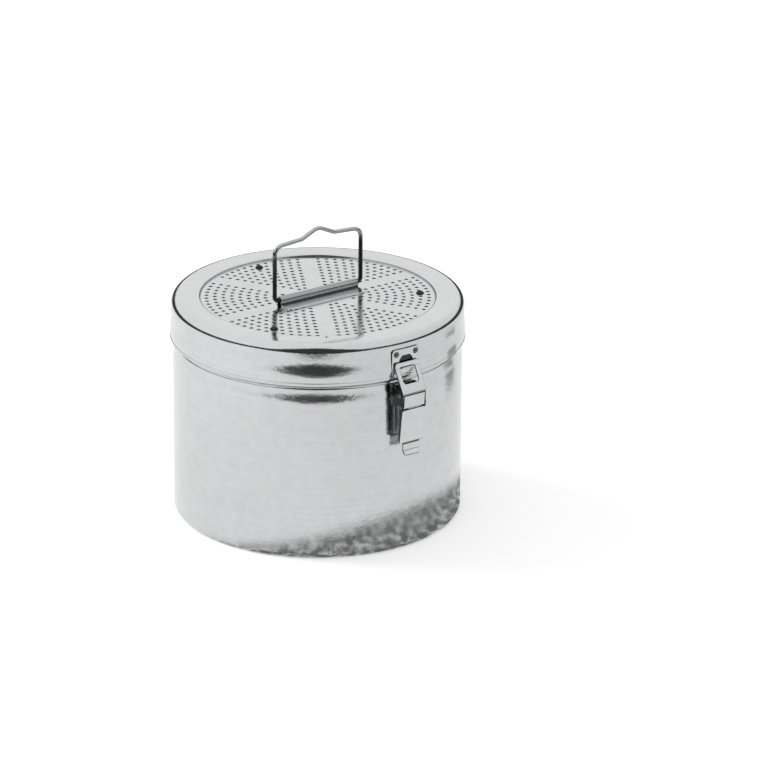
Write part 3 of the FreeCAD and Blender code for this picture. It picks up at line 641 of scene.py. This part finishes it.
LINK_HALF = 6.8
LINK_NECK_HALF = 5.85
LINK_NECK_SHARE = 0.60
LINK_NECK_PAST = 1.4
LINK_NECK_STEP = 0.4
LINK_WINDOW_HALF = 4.4
LINK_WINDOW_TALL = 8.2
BAR_GAP = 0.15
KNEE_AHEAD = 2.1
KNEE_ABOVE = 1.0
CURL_BORE = 0.65
CURL_RADIUS = 1.27
CURL_MIDDLE = 0.975


def latch_link():
    high = span("latch_link")[1]
    bar = -(LID_RADIUS + FITTING_SHEET + BAR_GAP + SHEET / 2)
    bar_tall = high.z - HOOK
    fold = Fold([(bar, high.z, 0), (bar, HOOK - FITTING_SHEET / 2, 1.0),
                 (LEVER_PIN.y - KNEE_AHEAD, LEVER_PIN.z + KNEE_ABOVE, 1.2),
                 (LINK_PIN.y - CURL_MIDDLE, LINK_PIN.z, 0)])
    long = fold.long
    neck = (long - bar_tall) * LINK_NECK_SHARE + bar_tall + LINK_NECK_PAST
    outline = mirrored([(LINK_HALF, 0, 1.2), (LINK_HALF, neck, 0.3),
                        (LINK_NECK_HALF, neck + LINK_NECK_STEP, 0.3), (LINK_NECK_HALF, long, 0)])
    window = rectangle(LINK_WINDOW_HALF, bar_tall, bar_tall + LINK_WINDOW_TALL, 0.5, 1.2)
    plate = folded(blank(outline, [window], SHEET, PLATE_EDGE, cuts_y=fold.stations()), fold, -1)
    curl = lathed([(CURL_BORE, -LINK_NECK_HALF), (CURL_RADIUS, -LINK_NECK_HALF),
                   (CURL_RADIUS, LINK_NECK_HALF), (CURL_BORE, LINK_NECK_HALF)], SMALL_SIDES, closed=True)
    curl = along_x(curl, 0, LINK_PIN.y, LINK_PIN.z)
    part = joined(plate, curl)
    return piece("latch_link_plate", *part, "link", "fitting_steel", ["latch_link"], BLANK_CREASE)


EAR_SHEET = 0.6
EAR_EDGE = 0.1
LEVER_PIN_RADIUS = 0.8


def ears(outline, holes, half):
    """Two flat ears that stand across X, from their side outline of y and z."""
    flat = blank(outline, holes, EAR_SHEET, EAR_EDGE)
    return [along_x(flat, hand * (half - EAR_SHEET / 2), 0, 0) for hand in (-1, 1)]


LEVER_HALF = 6.7
LEVER_EDGE = 0.22
LEVER_TOP_GAP = 0.15
LEVER_TOP_AHEAD = 1.9
LEVER_END_BEHIND = 0.1
LEVER_END = 49.2
TAB_END = 55.5
TAB_TALL = 2.0
TAB_KICK = 1.7
TAB_KICK_RISE = 0.1
TAB_HALF = 4.65
TAB_NOTCH = 0.3
EAR_TOP = 1.9
EAR_BEND = 1.85
EAR_BACK = 1.5
EAR_KNEE = 33.0
EAR_HOLLOW = 36.0
EAR_PROUD = 0.35
EAR_DEEP = 2.0
EAR_END_PROUD = 0.2
EAR_END_DEEP = 0.9
EAR_END_FRONT = 0.8
EAR_END_BACK = 1.2
EAR_PAST_LINK = 1.6
EAR_UNDER_LINK = 1.2


def latch_lever():
    top = LINK_PIN.z - CURL_RADIUS - LEVER_TOP_GAP
    end = DISC - LEVER_END
    tab = DISC - TAB_END
    top_y = LEVER_PIN.y - LEVER_TOP_AHEAD + FITTING_SHEET / 2
    end_y = LEVER_PIN.y + LEVER_END_BEHIND + FITTING_SHEET / 2
    fold = Fold([(top_y, top, 0), (end_y, end, 3.0), (end_y, tab + TAB_TALL, 1.6),
                 (end_y - TAB_KICK, tab + TAB_KICK_RISE, 0)])
    plate_long = (Vector((top_y, top)) - Vector((end_y, end))).length
    outline = mirrored([(LEVER_HALF, 0, 0.4), (LEVER_HALF, plate_long, 0.8),
                        (TAB_HALF, plate_long + TAB_NOTCH, 0.5), (TAB_HALF, fold.long, 1.6)])
    plate = folded(blank(outline, [], FITTING_SHEET, LEVER_EDGE, cuts_y=fold.stations()), fold, -1)
    # the ears go round both pins, stand a little proud of the plate and taper to its lower end
    side = rounded_line([
        (LEVER_PIN.y + EAR_BACK, LEVER_PIN.z + EAR_TOP, EAR_BEND),
        (LEVER_PIN.y - EAR_TOP, LEVER_PIN.z + EAR_TOP, EAR_BEND),
        (top_y - EAR_PROUD, DISC - EAR_KNEE, 1.0), (end_y - EAR_END_PROUD, end + EAR_END_FRONT, 0.6),
        (end_y + EAR_END_DEEP, end + EAR_END_BACK, 0.4), (top_y + EAR_DEEP, DISC - EAR_HOLLOW, 2.0),
        (LINK_PIN.y + EAR_PAST_LINK, LINK_PIN.z - EAR_UNDER_LINK, 1.5)], True)
    holes = [circle(LEVER_PIN_RADIUS, LEVER_PIN.yz), circle(CURL_BORE, LINK_PIN.yz)]
    part = joined(plate, *ears(side, holes, LEVER_HALF))
    return piece("latch_lever_plate", *part, "lever", "fitting_steel", ["latch_lever"], BLANK_CREASE)


BASE_EAR_REACH = 1.6
BASE_EAR_BEND = 1.55
BASE_EAR_DROP = 8.8
BASE_EAR_ROOT = 0.3


def latch_base():
    low, high = span("latch_base")
    half = high.x
    outline = rectangle(half, low.z, high.z, 1.6, 0.6)
    band = blank(outline, [], FITTING_SHEET, SMALL_EDGE, cuts_x=spread(half))
    band = wrapped(band, DRUM_RADIUS + FITTING_SHEET / 2)
    root = -(DRUM_RADIUS + BASE_EAR_ROOT)
    front = LEVER_PIN.y - BASE_EAR_REACH
    side = rounded_line([
        (root, high.z, 0.4), (front, LEVER_PIN.z + BASE_EAR_REACH, BASE_EAR_BEND),
        (front, LEVER_PIN.z - BASE_EAR_REACH, BASE_EAR_BEND), (root, LEVER_PIN.z - BASE_EAR_DROP, 1.0)], True)
    holes = [circle(LEVER_PIN_RADIUS, LEVER_PIN.yz)]
    part = joined(band, *ears(side, holes, half))
    return piece("latch_base_plate", *part, "drum", "fitting_steel", ["latch_base"], BLANK_CREASE)


# Pins and rivets

RIVET_HEAD = 3.0
RIVET_SHANK = 1.5
RIVET_SHANK_LONG = 0.3


def pin(name, node, body, head_share=1.6, head_tall=0.6):
    """A pin along X with rounded heads, wider than its shank by a share."""
    low, high = span(node)
    centre = (low + high) / 2
    head = (high.z - low.z) / 2
    shank = head / head_share
    half = high.x
    lower = [(0, -half, 0), (head, -half, 0.35), (head, head_tall - half, 0.1), (shank, head_tall - half, 0)]
    upper = [(x, -y, bend) for x, y, bend in reversed(lower)]
    part = lathed(rounded_line(lower + upper, False), SMALL_SIDES, closed=False)
    return piece(name, *along_x(part, 0, centre.y, centre.z), body, "pin_steel", [node])


def rivet_heads(name, node, body, skin, side, tall, stacked=False):
    """Two domed heads on the skin of a bent plate, in front (-1) or behind (1), side by side or stacked."""
    low, high = span(node)
    head = RIVET_HEAD / 2
    spots = [(hand * (high.x - head), (low.z + high.z) / 2) for hand in (-1, 1)]
    if stacked:
        spots = [(0, low.z + head), (0, high.z - head)]
    rivet = button(RIVET_HEAD, tall, RIVET_SHANK, RIVET_SHANK_LONG)
    parts = []
    for x, level in spots:
        angle = math.asin(x / skin)
        out = Vector((math.sin(angle), side * math.cos(angle), 0))
        turn = Matrix((Vector((-out.y, out.x, 0)), Vector((0, 0, 1)), out)).transposed()
        parts.append(placed(moved(rivet, 0, level, skin), lambda p, turn=turn: turn @ p))
    return piece(name, *joined(*parts), body, "pin_steel", [node])


# Materials

SHELL_TONE = (0.66, 0.665, 0.67)
FITTING_TONE = (0.68, 0.685, 0.69)
WIRE_TONE = (0.50, 0.505, 0.51)
RIVET_TONE = (0.16, 0.163, 0.167)
# The disc studs' near-black tone is a painted dark reflection
STUD_REFLECTION_TONE = (0.035, 0.036, 0.038)
# Tone of the painted shade, the painted dark reflection and the lid's dark stroke
SHADE_AND_MARK_TONE = (0.05, 0.051, 0.053)
CLOTH_DARK = (0.035, 0.036, 0.038)
CLOTH_PALE = (0.11, 0.112, 0.118)


class Tree:
    """A node tree that is filled one node at a time."""

    def __init__(self, tree):
        self.tree = tree
        tree.nodes.clear()

    def add(self, kind, settings=None, **inputs):
        """A node with its settings and inputs. An input without a name of its own is its number after _."""
        node = self.tree.nodes.new(kind)
        for name, value in (settings or {}).items():
            setattr(node, name, value)
        for name, value in inputs.items():
            key = int(name[1:]) if name[0] == "_" else name.replace("_", " ")
            socket = node.inputs[key]
            if isinstance(value, bpy.types.NodeSocket):
                self.tree.links.new(value, socket)
            else:
                socket.default_value = value
        return node

    def math(self, operation, one, two=0.0, clamp=False):
        settings = {"operation": operation, "use_clamp": clamp}
        return self.add("ShaderNodeMath", settings, _0=one, _1=two).outputs[0]

    def chain(self, operation, first, *others):
        for other in others:
            first = self.math(operation, first, other)
        return first

    def plus(self, *values):
        return self.chain("ADD", *values)

    def minus(self, one, two):
        return self.math("SUBTRACT", one, two)

    def times(self, *values):
        return self.chain("MULTIPLY", *values)

    def most(self, *values):
        return self.chain("MAXIMUM", *values)

    def vector(self, operation, output, one, two=(0, 0, 0)):
        return self.add("ShaderNodeVectorMath", {"operation": operation}, _0=one, _1=two).outputs[output]

    def mapped(self, value, low, high, new_low=0.0, new_high=1.0):
        """A smooth step from one value to another."""
        return self.add("ShaderNodeMapRange", {"interpolation_type": "SMOOTHSTEP"}, Value=value, From_Min=low,
                        From_Max=high, To_Min=new_low, To_Max=new_high).outputs[0]

    def swing(self, noise, reach, most):
        """Noise about its middle, as a value on both sides of zero."""
        return self.mapped(noise, 0.5 - reach, 0.5 + reach, -most, most)

    def spot(self):
        return self.add("ShaderNodeTexCoord").outputs["Object"]

    def axes(self, vector):
        return self.add("ShaderNodeSeparateXYZ", Vector=vector).outputs

    def noise(self, spot, scale, detail, roughness=0.5):
        return self.add("ShaderNodeTexNoise", Vector=spot, Scale=scale, Detail=detail,
                        Roughness=roughness).outputs["Fac"]

    def mix(self, share, one, two):
        """A colour between two, which are three numbers each or a socket."""
        one, two = [colour if isinstance(colour, bpy.types.NodeSocket) else tuple(colour) + (1.0,)
                    for colour in (one, two)]
        return self.add("ShaderNodeMix", {"data_type": "RGBA"}, _0=share, _6=one, _7=two).outputs[2]

    def bump(self, height, strength, depth, **normal):
        return self.add("ShaderNodeBump", Strength=strength, Distance=depth * MM, Height=height,
                        **normal).outputs[0]

    def band(self, value, low, high, soft):
        """1 between two lengths in millimetres, fading outside them."""
        return self.times(self.mapped(value, (low - soft) * MM, low * MM),
                          self.mapped(value, high * MM, (high + soft) * MM, 1.0, 0.0))

    def faces_along(self, axis, low, high):
        """How far a face points along an axis of the object, from 0 to 1."""
        normal = self.add("ShaderNodeNewGeometry").outputs["Normal"]
        settings = {"vector_type": "NORMAL", "convert_from": "WORLD", "convert_to": "OBJECT"}
        local = self.add("ShaderNodeVectorTransform", settings, Vector=normal).outputs[0]
        return self.mapped(self.math("ABSOLUTE", self.axes(local)[axis]), low, high)


def material(name):
    made = bpy.data.materials.new(name)
    made.use_nodes = True
    return made, Tree(made.node_tree)


# Painted shade, a painted dark reflection and a dark stroke: how dark a place is painted, from 0 to 1. Levels
# count from the disc's top unless a pin is named.

SIDE_FACES = (0.55, 0.8)
LEVEL_FACES = (0.685, 0.72)
LINK_LINE = (0.1, 0.75)
END_LINE = (-50.0, -49.3)
END_SHARE = 0.9
EAR_BAND = (6.0, 8.0)
EAR_LOW = -32.5
SADDLE_FOOT = (0.76, 1.5)
SADDLE_ARCH = (1.4, 9.0)
ARCH_SHARE = 0.45
DARK_LEGS = (23, 29)
HOOK_SHADE_HALF = 4.2
HOOK_SHADE_TALL = 5.8
HOOK_SHADE_FRONT = (-50, -40)
STROKE_AT = Vector((-30.04, -49.03))
STROKE_HALF = 2.0
STROKE_WIDE = 0.3
STROKE_SHARE = 0.85


def edges_shade(tree):
    """Painted shade on the faces of a fitting that point along X or Z: its sheared edges and its ears."""
    return tree.most(tree.faces_along("X", *SIDE_FACES), tree.faces_along("Z", *LEVEL_FACES))


def link_shade(tree):
    """The link also has a painted shadow line where it is folded, just above the lever's pin."""
    low, high = LINK_LINE
    level = tree.axes(tree.spot())["Z"]
    return tree.most(edges_shade(tree), tree.band(level, LEVER_PIN.z + low, LEVER_PIN.z + high, 0.15))


def lever_shade(tree):
    """The lever also has painted shade on its ears and a painted shadow line where its plate ends."""
    axes = tree.axes(tree.spot())
    low, high = END_LINE
    end = tree.times(tree.band(axes["Z"], DISC + low, DISC + high, 0.3), END_SHARE)
    beside = tree.band(tree.math("ABSOLUTE", axes["X"]), *EAR_BAND, 0.1)
    ear_shade = tree.times(beside, tree.band(axes["Z"], DISC + EAR_LOW, DISC, 0.3))
    return tree.most(edges_shade(tree), end, ear_shade)


def saddle_shade(tree):
    """The saddle has painted shade over its arch and a painted shadow along its foot."""
    level = tree.axes(tree.spot())["Z"]
    foot, arch = [tree.band(level, DISC + low, DISC + high, soft)
                  for (low, high), soft in ((SADDLE_FOOT, 0.06), (SADDLE_ARCH, 0.2))]
    return tree.most(foot, tree.times(arch, ARCH_SHARE))


def legs_reflection(tree):
    """A painted dark reflection along the wire's legs; its top stays bright."""
    low, high = DARK_LEGS
    return tree.mapped(tree.axes(tree.spot())["Z"], (DISC + low) * MM, (DISC + high) * MM, 1.0, 0.0)


def lid_stroke_and_shade(tree):
    """A short dark stroke on the top ring, and painted shade behind the catch's window."""
    axes = tree.axes(tree.spot())
    # a short dark stroke across the top ring at the recess edge
    x = tree.minus(axes["X"], STROKE_AT.x * MM)
    y = tree.minus(axes["Y"], STROKE_AT.y * MM)
    out = STROKE_AT.normalized()
    along = tree.plus(tree.times(x, out.x), tree.times(y, out.y))
    across = tree.minus(tree.times(x, out.y), tree.times(y, out.x))
    on_top = tree.mapped(axes["Z"], (LID_TOP - 1) * MM, LID_TOP * MM, 0.0, STROKE_SHARE)
    stroke = tree.times(tree.band(along, -STROKE_HALF, STROKE_HALF, 0.3),
                         tree.band(across, -STROKE_WIDE, STROKE_WIDE, 0.2), on_top)
    # painted shade on the lid behind the catch's window
    front, back = HOOK_SHADE_FRONT
    behind = tree.times(tree.band(axes["X"], -HOOK_SHADE_HALF, HOOK_SHADE_HALF, 0.2),
                        tree.band(axes["Z"], HOOK, HOOK + HOOK_SHADE_TALL, 0.3),
                        tree.mapped(axes["Y"], front * MM, back * MM, 1.0, 0.0))
    return tree.most(stroke, behind)


# Steel and cloth: scales count along a metre, depths are in millimetres

WAVE_SCALE = 55.0
SCUFF_SCALE = 30.0
MOTTLE_SCALE = 210.0
DIMPLE_SCALE = 420.0
WEAVE_SCALE = 420.0
FIBRE_SCALE = 900.0
TURN_STRETCH = 1.2
LINE_STRETCH = 25.0
UPRIGHT_SLANT = 0.3
MOTTLE_SHADE = 0.025
LINE_SHADE = 0.03
SCUFF_SHADE = 0.02
DARKER = 0.9
BRIGHTER = 1.06
GLOSSIER = 0.8
DULLER = 1.35


def polishing_lines(tree, spot, lines, grain):
    """Fine lines that run round the drum, upright, or along X."""
    x, y, z = tree.axes(spot)
    if grain == "round":
        reach = tree.math("SQRT", tree.plus(tree.times(x, x), tree.times(y, y)))
        across = tree.plus(tree.times(z, lines), tree.times(reach, lines))
        along = tree.times(tree.math("ARCTAN2", y, x), TURN_STRETCH)
    elif grain == "upright":
        across = tree.plus(tree.times(x, lines), tree.times(y, lines * UPRIGHT_SLANT))
        along = tree.times(z, LINE_STRETCH)
    else:
        across = tree.plus(tree.times(y, lines), tree.times(z, lines))
        along = tree.times(x, LINE_STRETCH)
    stretched = tree.add("ShaderNodeCombineXYZ", X=across, Y=along, Z=0.0).outputs[0]
    return tree.noise(stretched, 1.0, 4.0, 0.65)


def steel(name, tone, rough, lines, grain, line_depth=0.003, wave_depth=0.02, dimple=0.0, shade_and_marks=None):
    """Polished sheet steel: fine polishing lines, slight waves in the sheet, uneven gloss."""
    made, tree = material(name)
    spot = tree.spot()
    fine = polishing_lines(tree, spot, lines, grain)
    wave = tree.noise(spot, WAVE_SCALE, 2.0)
    mottle = tree.noise(spot, MOTTLE_SCALE, 4.0, 0.6)
    scuff = tree.noise(spot, SCUFF_SCALE, 6.0, 0.7)
    uneven = tree.plus(tree.swing(mottle, 0.25, MOTTLE_SHADE), tree.swing(fine, 0.3, LINE_SHADE),
                       tree.swing(scuff, 0.2, SCUFF_SHADE))
    share = tree.mapped(tree.math("ADD", uneven, 0.5, True), 0.4, 0.6)
    colour = tree.mix(share, [DARKER * c for c in tone], [BRIGHTER * c for c in tone])
    # painted shade and dark marks from the mask, mixed into the colour
    if shade_and_marks:
        colour = tree.mix(shade_and_marks(tree), colour, SHADE_AND_MARK_TONE)
    gloss = tree.plus(tree.mapped(scuff, 0.3, 0.75, rough * GLOSSIER, rough * DULLER),
                      tree.mapped(fine, 0.2, 0.8, -0.02, 0.03))
    normal = tree.bump(wave, 0.35, wave_depth)
    if dimple:
        normal = tree.bump(tree.noise(spot, DIMPLE_SCALE, 4.0, 0.62), 0.6, dimple, Normal=normal)
    normal = tree.bump(fine, 0.5, line_depth, Normal=normal)
    shader = tree.add("ShaderNodeBsdfPrincipled", Metallic=1.0, Base_Color=colour, Roughness=gloss,
                      Normal=normal)
    tree.add("ShaderNodeOutputMaterial", Surface=shader.outputs[0])
    return made


def cloth():
    """Woven filter cloth in dark grey."""
    made, tree = material("filter_weave")
    spot = tree.spot()
    threads = [tree.add("ShaderNodeTexWave", {"wave_type": "BANDS", "bands_direction": axis}, Vector=spot,
                        Scale=WEAVE_SCALE, Distortion=0.6, Detail=1.0).outputs["Fac"] for axis in "XY"]
    height = tree.plus(tree.most(*threads), tree.times(tree.noise(spot, FIBRE_SCALE, 3.0), 0.4))
    colour = tree.mix(tree.mapped(height, 0.3, 1.3), CLOTH_DARK, CLOTH_PALE)
    shader = tree.add("ShaderNodeBsdfPrincipled", Base_Color=colour, Roughness=0.92, Sheen_Weight=0.25,
                      Normal=tree.bump(height, 0.6, 0.12))
    tree.add("ShaderNodeOutputMaterial", Surface=shader.outputs[0])
    return made


def dress():
    """Each slot has its look, and a few pieces have one of their own."""
    fitting = {"tone": FITTING_TONE, "rough": 0.18, "lines": 1400.0, "grain": "upright", "wave_depth": 0.008}
    rivet = {"lines": 2200.0, "grain": "along", "wave_depth": 0.004}
    satin = {"tone": SHELL_TONE, "line_depth": 0.004, "wave_depth": 0.01}
    looks = {
        "drum_steel": steel("drum_polish", SHELL_TONE, 0.12, 900.0, "round", dimple=0.12),
        "lid_steel": steel("lid_polish", SHELL_TONE, 0.10, 900.0, "round", dimple=0.07, shade_and_marks=lid_stroke_and_shade),
        "vent_steel": steel("vent_satin", rough=0.15, lines=1500.0, grain="along", **satin),
        "fitting_steel": steel("fitting_polish", shade_and_marks=edges_shade, **fitting),
        "pin_steel": steel("rivet_steel", RIVET_TONE, 0.22, **rivet),
        "wire_steel": steel("wire_steel", WIRE_TONE, 0.16, 3000.0, "along", 0.002, 0.004, shade_and_marks=legs_reflection),
        "inner_steel": steel("inner_satin", rough=0.34, lines=1200.0, grain="upright", **satin),
        "filter_cloth": cloth(),
    }
    special = {
        "handle_saddle": steel("saddle_steel_painted_shade", FITTING_TONE, 0.2, 1400.0, "along", wave_depth=0.004,
                               shade_and_marks=saddle_shade),
        "latch_link_plate": steel("link_steel_painted_shade", shade_and_marks=link_shade, **fitting),
        "latch_lever_plate": steel("lever_steel_painted_shade", shade_and_marks=lever_shade, **fitting),
        # the studs carry a painted dark reflection in their colour
        "vent_rivets": steel("stud_painted_reflection", STUD_REFLECTION_TONE, 0.25, **rivet),
    }
    slot_of = {row["node"]: row["material_slot"] for row in frame["record"]["subparts"]}
    for name, node in frame["nodes"].items():
        node.data.materials.clear()
        node.data.materials.append(looks[slot_of[name]])
    for made in bpy.context.scene.objects:
        if made.type == "MESH" and "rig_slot" in made:
            made.data.materials.clear()
            made.data.materials.append(special.get(made.name, looks[made["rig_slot"]]))


# Stage: camera, world, floor and lamps

CAMERA = Vector((-1090.29, -1528.53, 795.31))
AIM = Vector((16.90, -30.38, 67.52))
LENS = 197.08
SENSOR = 36.0
ROLL = math.radians(0.5196)
FAR_CLIP = 20


def camera():
    ahead = (AIM - CAMERA).normalized()
    right = ahead.cross(Vector((0, 0, 1))).normalized()
    up = right.cross(ahead)
    x = right * math.cos(ROLL) + up * math.sin(ROLL)
    y = up * math.cos(ROLL) - right * math.sin(ROLL)
    data = bpy.data.cameras.new("camera")
    data.lens = LENS
    data.sensor_width = SENSOR
    data.clip_end = FAR_CLIP
    made = bpy.data.objects.new("camera", data)
    made.matrix_world = Matrix.Translation(CAMERA * MM) @ Matrix((x, y, -ahead)).transposed().to_4x4()
    bpy.context.scene.collection.objects.link(made)
    bpy.context.scene.camera = made


# What the metal mirrors: a bright table and room, with the room dark on one side and along the horizon

ROOM_WIDE = 0.225
ROOM_TOP = 0.80
ROOM_SOFT = 0.10
ROOM_TONE = 0.05
HORIZON = (0.19, 0.25)
LEFT = (-0.6, 0.8)
RIGHT_TONE = 0.88
LEFT_TONE = 1.04
PLAIN_LIGHT = 0.78
FLOOR_HALF = 3.0
TABLE_REACH = 0.355
TABLE_SOFT = 0.03
TABLE_END = (0.75, 1.0)
TABLE_LEFT = 0.35
SHADOW_SPOT = (0.0075, -0.029, 0)
SHADOW_EDGE = (0.066, 0.086)
SHADOW_SHARE = 0.85
THING_BESIDE = math.radians(-9.5)
THING_EDGE = (0.988, 0.996)
THING_NEAR = (0.21, 0.235)
THING_FAR = (0.30, 0.33)
THING_SHARE = 0.75
FLECK_SCALE = 150.0
FLECK_EDGE = (0.36, 0.56)
FLECK_LEAST = 0.35
PAPER_TONE = 0.86
PAPER_LIFT = 0.30


def aside_of_room(tree, direction):
    """0 where a level direction points at the middle of the dark side and 1 at its edge."""
    back = CAMERA - AIM
    middle = Vector((back.x, back.y, 0)).normalized()
    level = tree.vector("MULTIPLY", 0, direction, (1, 1, 0))
    unit = tree.vector("NORMALIZE", 0, level)
    toward = tree.vector("DOT_PRODUCT", "Value", unit, tuple(middle))
    return tree.math("DIVIDE", tree.minus(1.0, toward), ROOM_WIDE)


def mirrored_tone(tree, x, y, left_at, dark):
    """Brightness in the metal: a little more towards the left, and little where it is dark."""
    left = tree.plus(tree.times(y, LEFT[1]), tree.times(x, LEFT[0]))
    level = tree.mapped(left, -left_at, left_at, RIGHT_TONE, LEFT_TONE)
    return tree.times(level, tree.minus(1.0, tree.times(dark, 1.0 - ROOM_TONE)))


def world():
    """White for the camera, plain for diffuse light, and in the metal a bright room with a dark horizon."""
    made = bpy.data.worlds.new("studio")
    bpy.context.scene.world = made
    made.use_nodes = True
    tree = Tree(made.node_tree)
    toward = tree.add("ShaderNodeTexCoord").outputs["Generated"]
    x, y, z = tree.axes(toward)
    horizon = tree.mapped(tree.math("ABSOLUTE", z), *HORIZON, 1.0, 0.0)
    top = tree.minus(ROOM_TOP, tree.times(aside_of_room(tree, toward), ROOM_TOP))
    room = tree.mapped(tree.minus(z, top), 0.0, ROOM_SOFT, 1.0, 0.0)
    path = tree.add("ShaderNodeLightPath").outputs
    seen = tree.times(mirrored_tone(tree, x, y, 1.0, tree.most(horizon, room)), path["Is Glossy Ray"])
    white = tree.most(path["Is Camera Ray"], path["Is Transmission Ray"])
    plain = tree.math("SUBTRACT", 1.0, tree.most(path["Is Glossy Ray"], white), True)
    strength = tree.plus(seen, white, tree.times(plain, PLAIN_LIGHT))
    shader = tree.add("ShaderNodeBackground", Color=(1, 1, 1, 1), Strength=strength)
    tree.add("ShaderNodeOutputWorld", Surface=shader.outputs[0])


def table_dark(tree, spot):
    """Where the mirrored table is dark: past its edge, a painted shadow under the drum's front, and a painted
    dark patch that stands in for a thing beside it.
    """
    away = tree.vector("LENGTH", "Value", spot)
    edge = tree.plus(TABLE_REACH, tree.times(aside_of_room(tree, spot), TABLE_REACH))
    room = tree.mapped(tree.minus(away, edge), 0.0, TABLE_SOFT)
    beyond = tree.mapped(away, *TABLE_END)
    shadow = tree.mapped(tree.vector("DISTANCE", "Value", spot, SHADOW_SPOT), *SHADOW_EDGE, 1.0, 0.0)
    beside = tree.vector("DOT_PRODUCT", "Value", tree.vector("NORMALIZE", 0, spot),
                         (math.cos(THING_BESIDE), math.sin(THING_BESIDE), 0))
    thing = tree.times(tree.mapped(beside, *THING_EDGE, 0.0, THING_SHARE), tree.mapped(away, *THING_NEAR),
                       tree.mapped(away, *THING_FAR, 1.0, 0.0))
    flecks = tree.mapped(tree.noise(spot, FLECK_SCALE, 3.0, 0.7), *FLECK_EDGE, FLECK_LEAST, 1.0)
    return tree.most(room, beyond, tree.times(shadow, flecks, SHADOW_SHARE), tree.times(thing, flecks))


def floor():
    """A sheet of paper that is white for the camera and keeps the shadow."""
    mesh = bpy.data.meshes.new("floor")
    corners = [(-1, -1), (1, -1), (1, 1), (-1, 1)]
    mesh.from_pydata([(FLOOR_HALF * x, FLOOR_HALF * y, 0) for x, y in corners], [], [(0, 1, 2, 3)])
    made = bpy.data.objects.new("floor", mesh)
    bpy.context.scene.collection.objects.link(made)
    paper, tree = material("floor_paper")
    spot = tree.spot()
    axes = tree.axes(spot)
    path = tree.add("ShaderNodeLightPath").outputs
    # In the metal the paper glows: painted light, a little brighter towards the left, with the painted shadow
    # and dark patches of table_dark
    level = mirrored_tone(tree, axes["X"], axes["Y"], TABLE_LEFT, table_dark(tree, spot))
    in_metal = tree.add("ShaderNodeEmission", Color=(1, 1, 1, 1), Strength=level)
    diffuse = tree.add("ShaderNodeBsdfDiffuse", Color=(PAPER_TONE, PAPER_TONE, PAPER_TONE, 1))
    for_camera = tree.times(path["Is Camera Ray"], PAPER_LIFT)
    lift = tree.add("ShaderNodeEmission", Color=(1, 1, 1, 1), Strength=for_camera)
    both = tree.add("ShaderNodeAddShader", _0=diffuse.outputs[0], _1=lift.outputs[0])
    seen = tree.add("ShaderNodeMixShader", _0=path["Is Glossy Ray"], _1=both.outputs[0],
                    _2=in_metal.outputs[0])
    tree.add("ShaderNodeOutputMaterial", Surface=seen.outputs[0])
    mesh.materials.append(paper)


# Name, place, width and power of each lamp
LAMPS = [("key", (-0.75, 0.95, 1.15), 0.7, 12.0), ("fill", (-0.9, -1.0, 1.3), 1.2, 4.0)]
LAMP_AIM = Vector((0, 0, 0.05))


def lamps():
    for name, place, wide, power in LAMPS:
        data = bpy.data.lights.new(name, "AREA")
        data.shape = "DISK"
        data.size = wide
        data.energy = power
        made = bpy.data.objects.new(name, data)
        made.location = place
        made.visible_glossy = False
        made.rotation_euler = (LAMP_AIM - Vector(place)).to_track_quat("-Z", "Y").to_euler()
        bpy.context.scene.collection.objects.link(made)


camera()
drum_shell()
lid_shell()
vent_plate()
vent_studs()
filter_cloth()
handle_bail()
handle_bracket()
catch_plate()
latch_link()
latch_lever()
latch_base()
pin("lever_rivet_pin", "lever_pin", "lever")
pin("link_rivet_pin", "link_pin", "lever")
pin("hinge_rod", "hinge_pin", "drum", head_share=1.5, head_tall=0.8)
ON_LID = LID_RADIUS + FITTING_SHEET
ON_DRUM = DRUM_RADIUS + FITTING_SHEET
rivet_heads("catch_rivet_heads", "catch_rivets", "lid", ON_LID, -1, 0.95)
rivet_heads("lid_hinge_rivet_heads", "lid_hinge_rivets", "lid", ON_LID, 1, 0.95)
rivet_heads("drum_hinge_rivet_heads", "drum_hinge_rivets", "drum", ON_DRUM, 1, 0.95)
rivet_heads("latch_base_rivet_heads", "latch_base_rivets", "drum", ON_DRUM, -1, 0.9, stacked=True)
dress()
world()
floor()
lamps()
bpy.context.scene.view_settings.view_transform = "Standard"
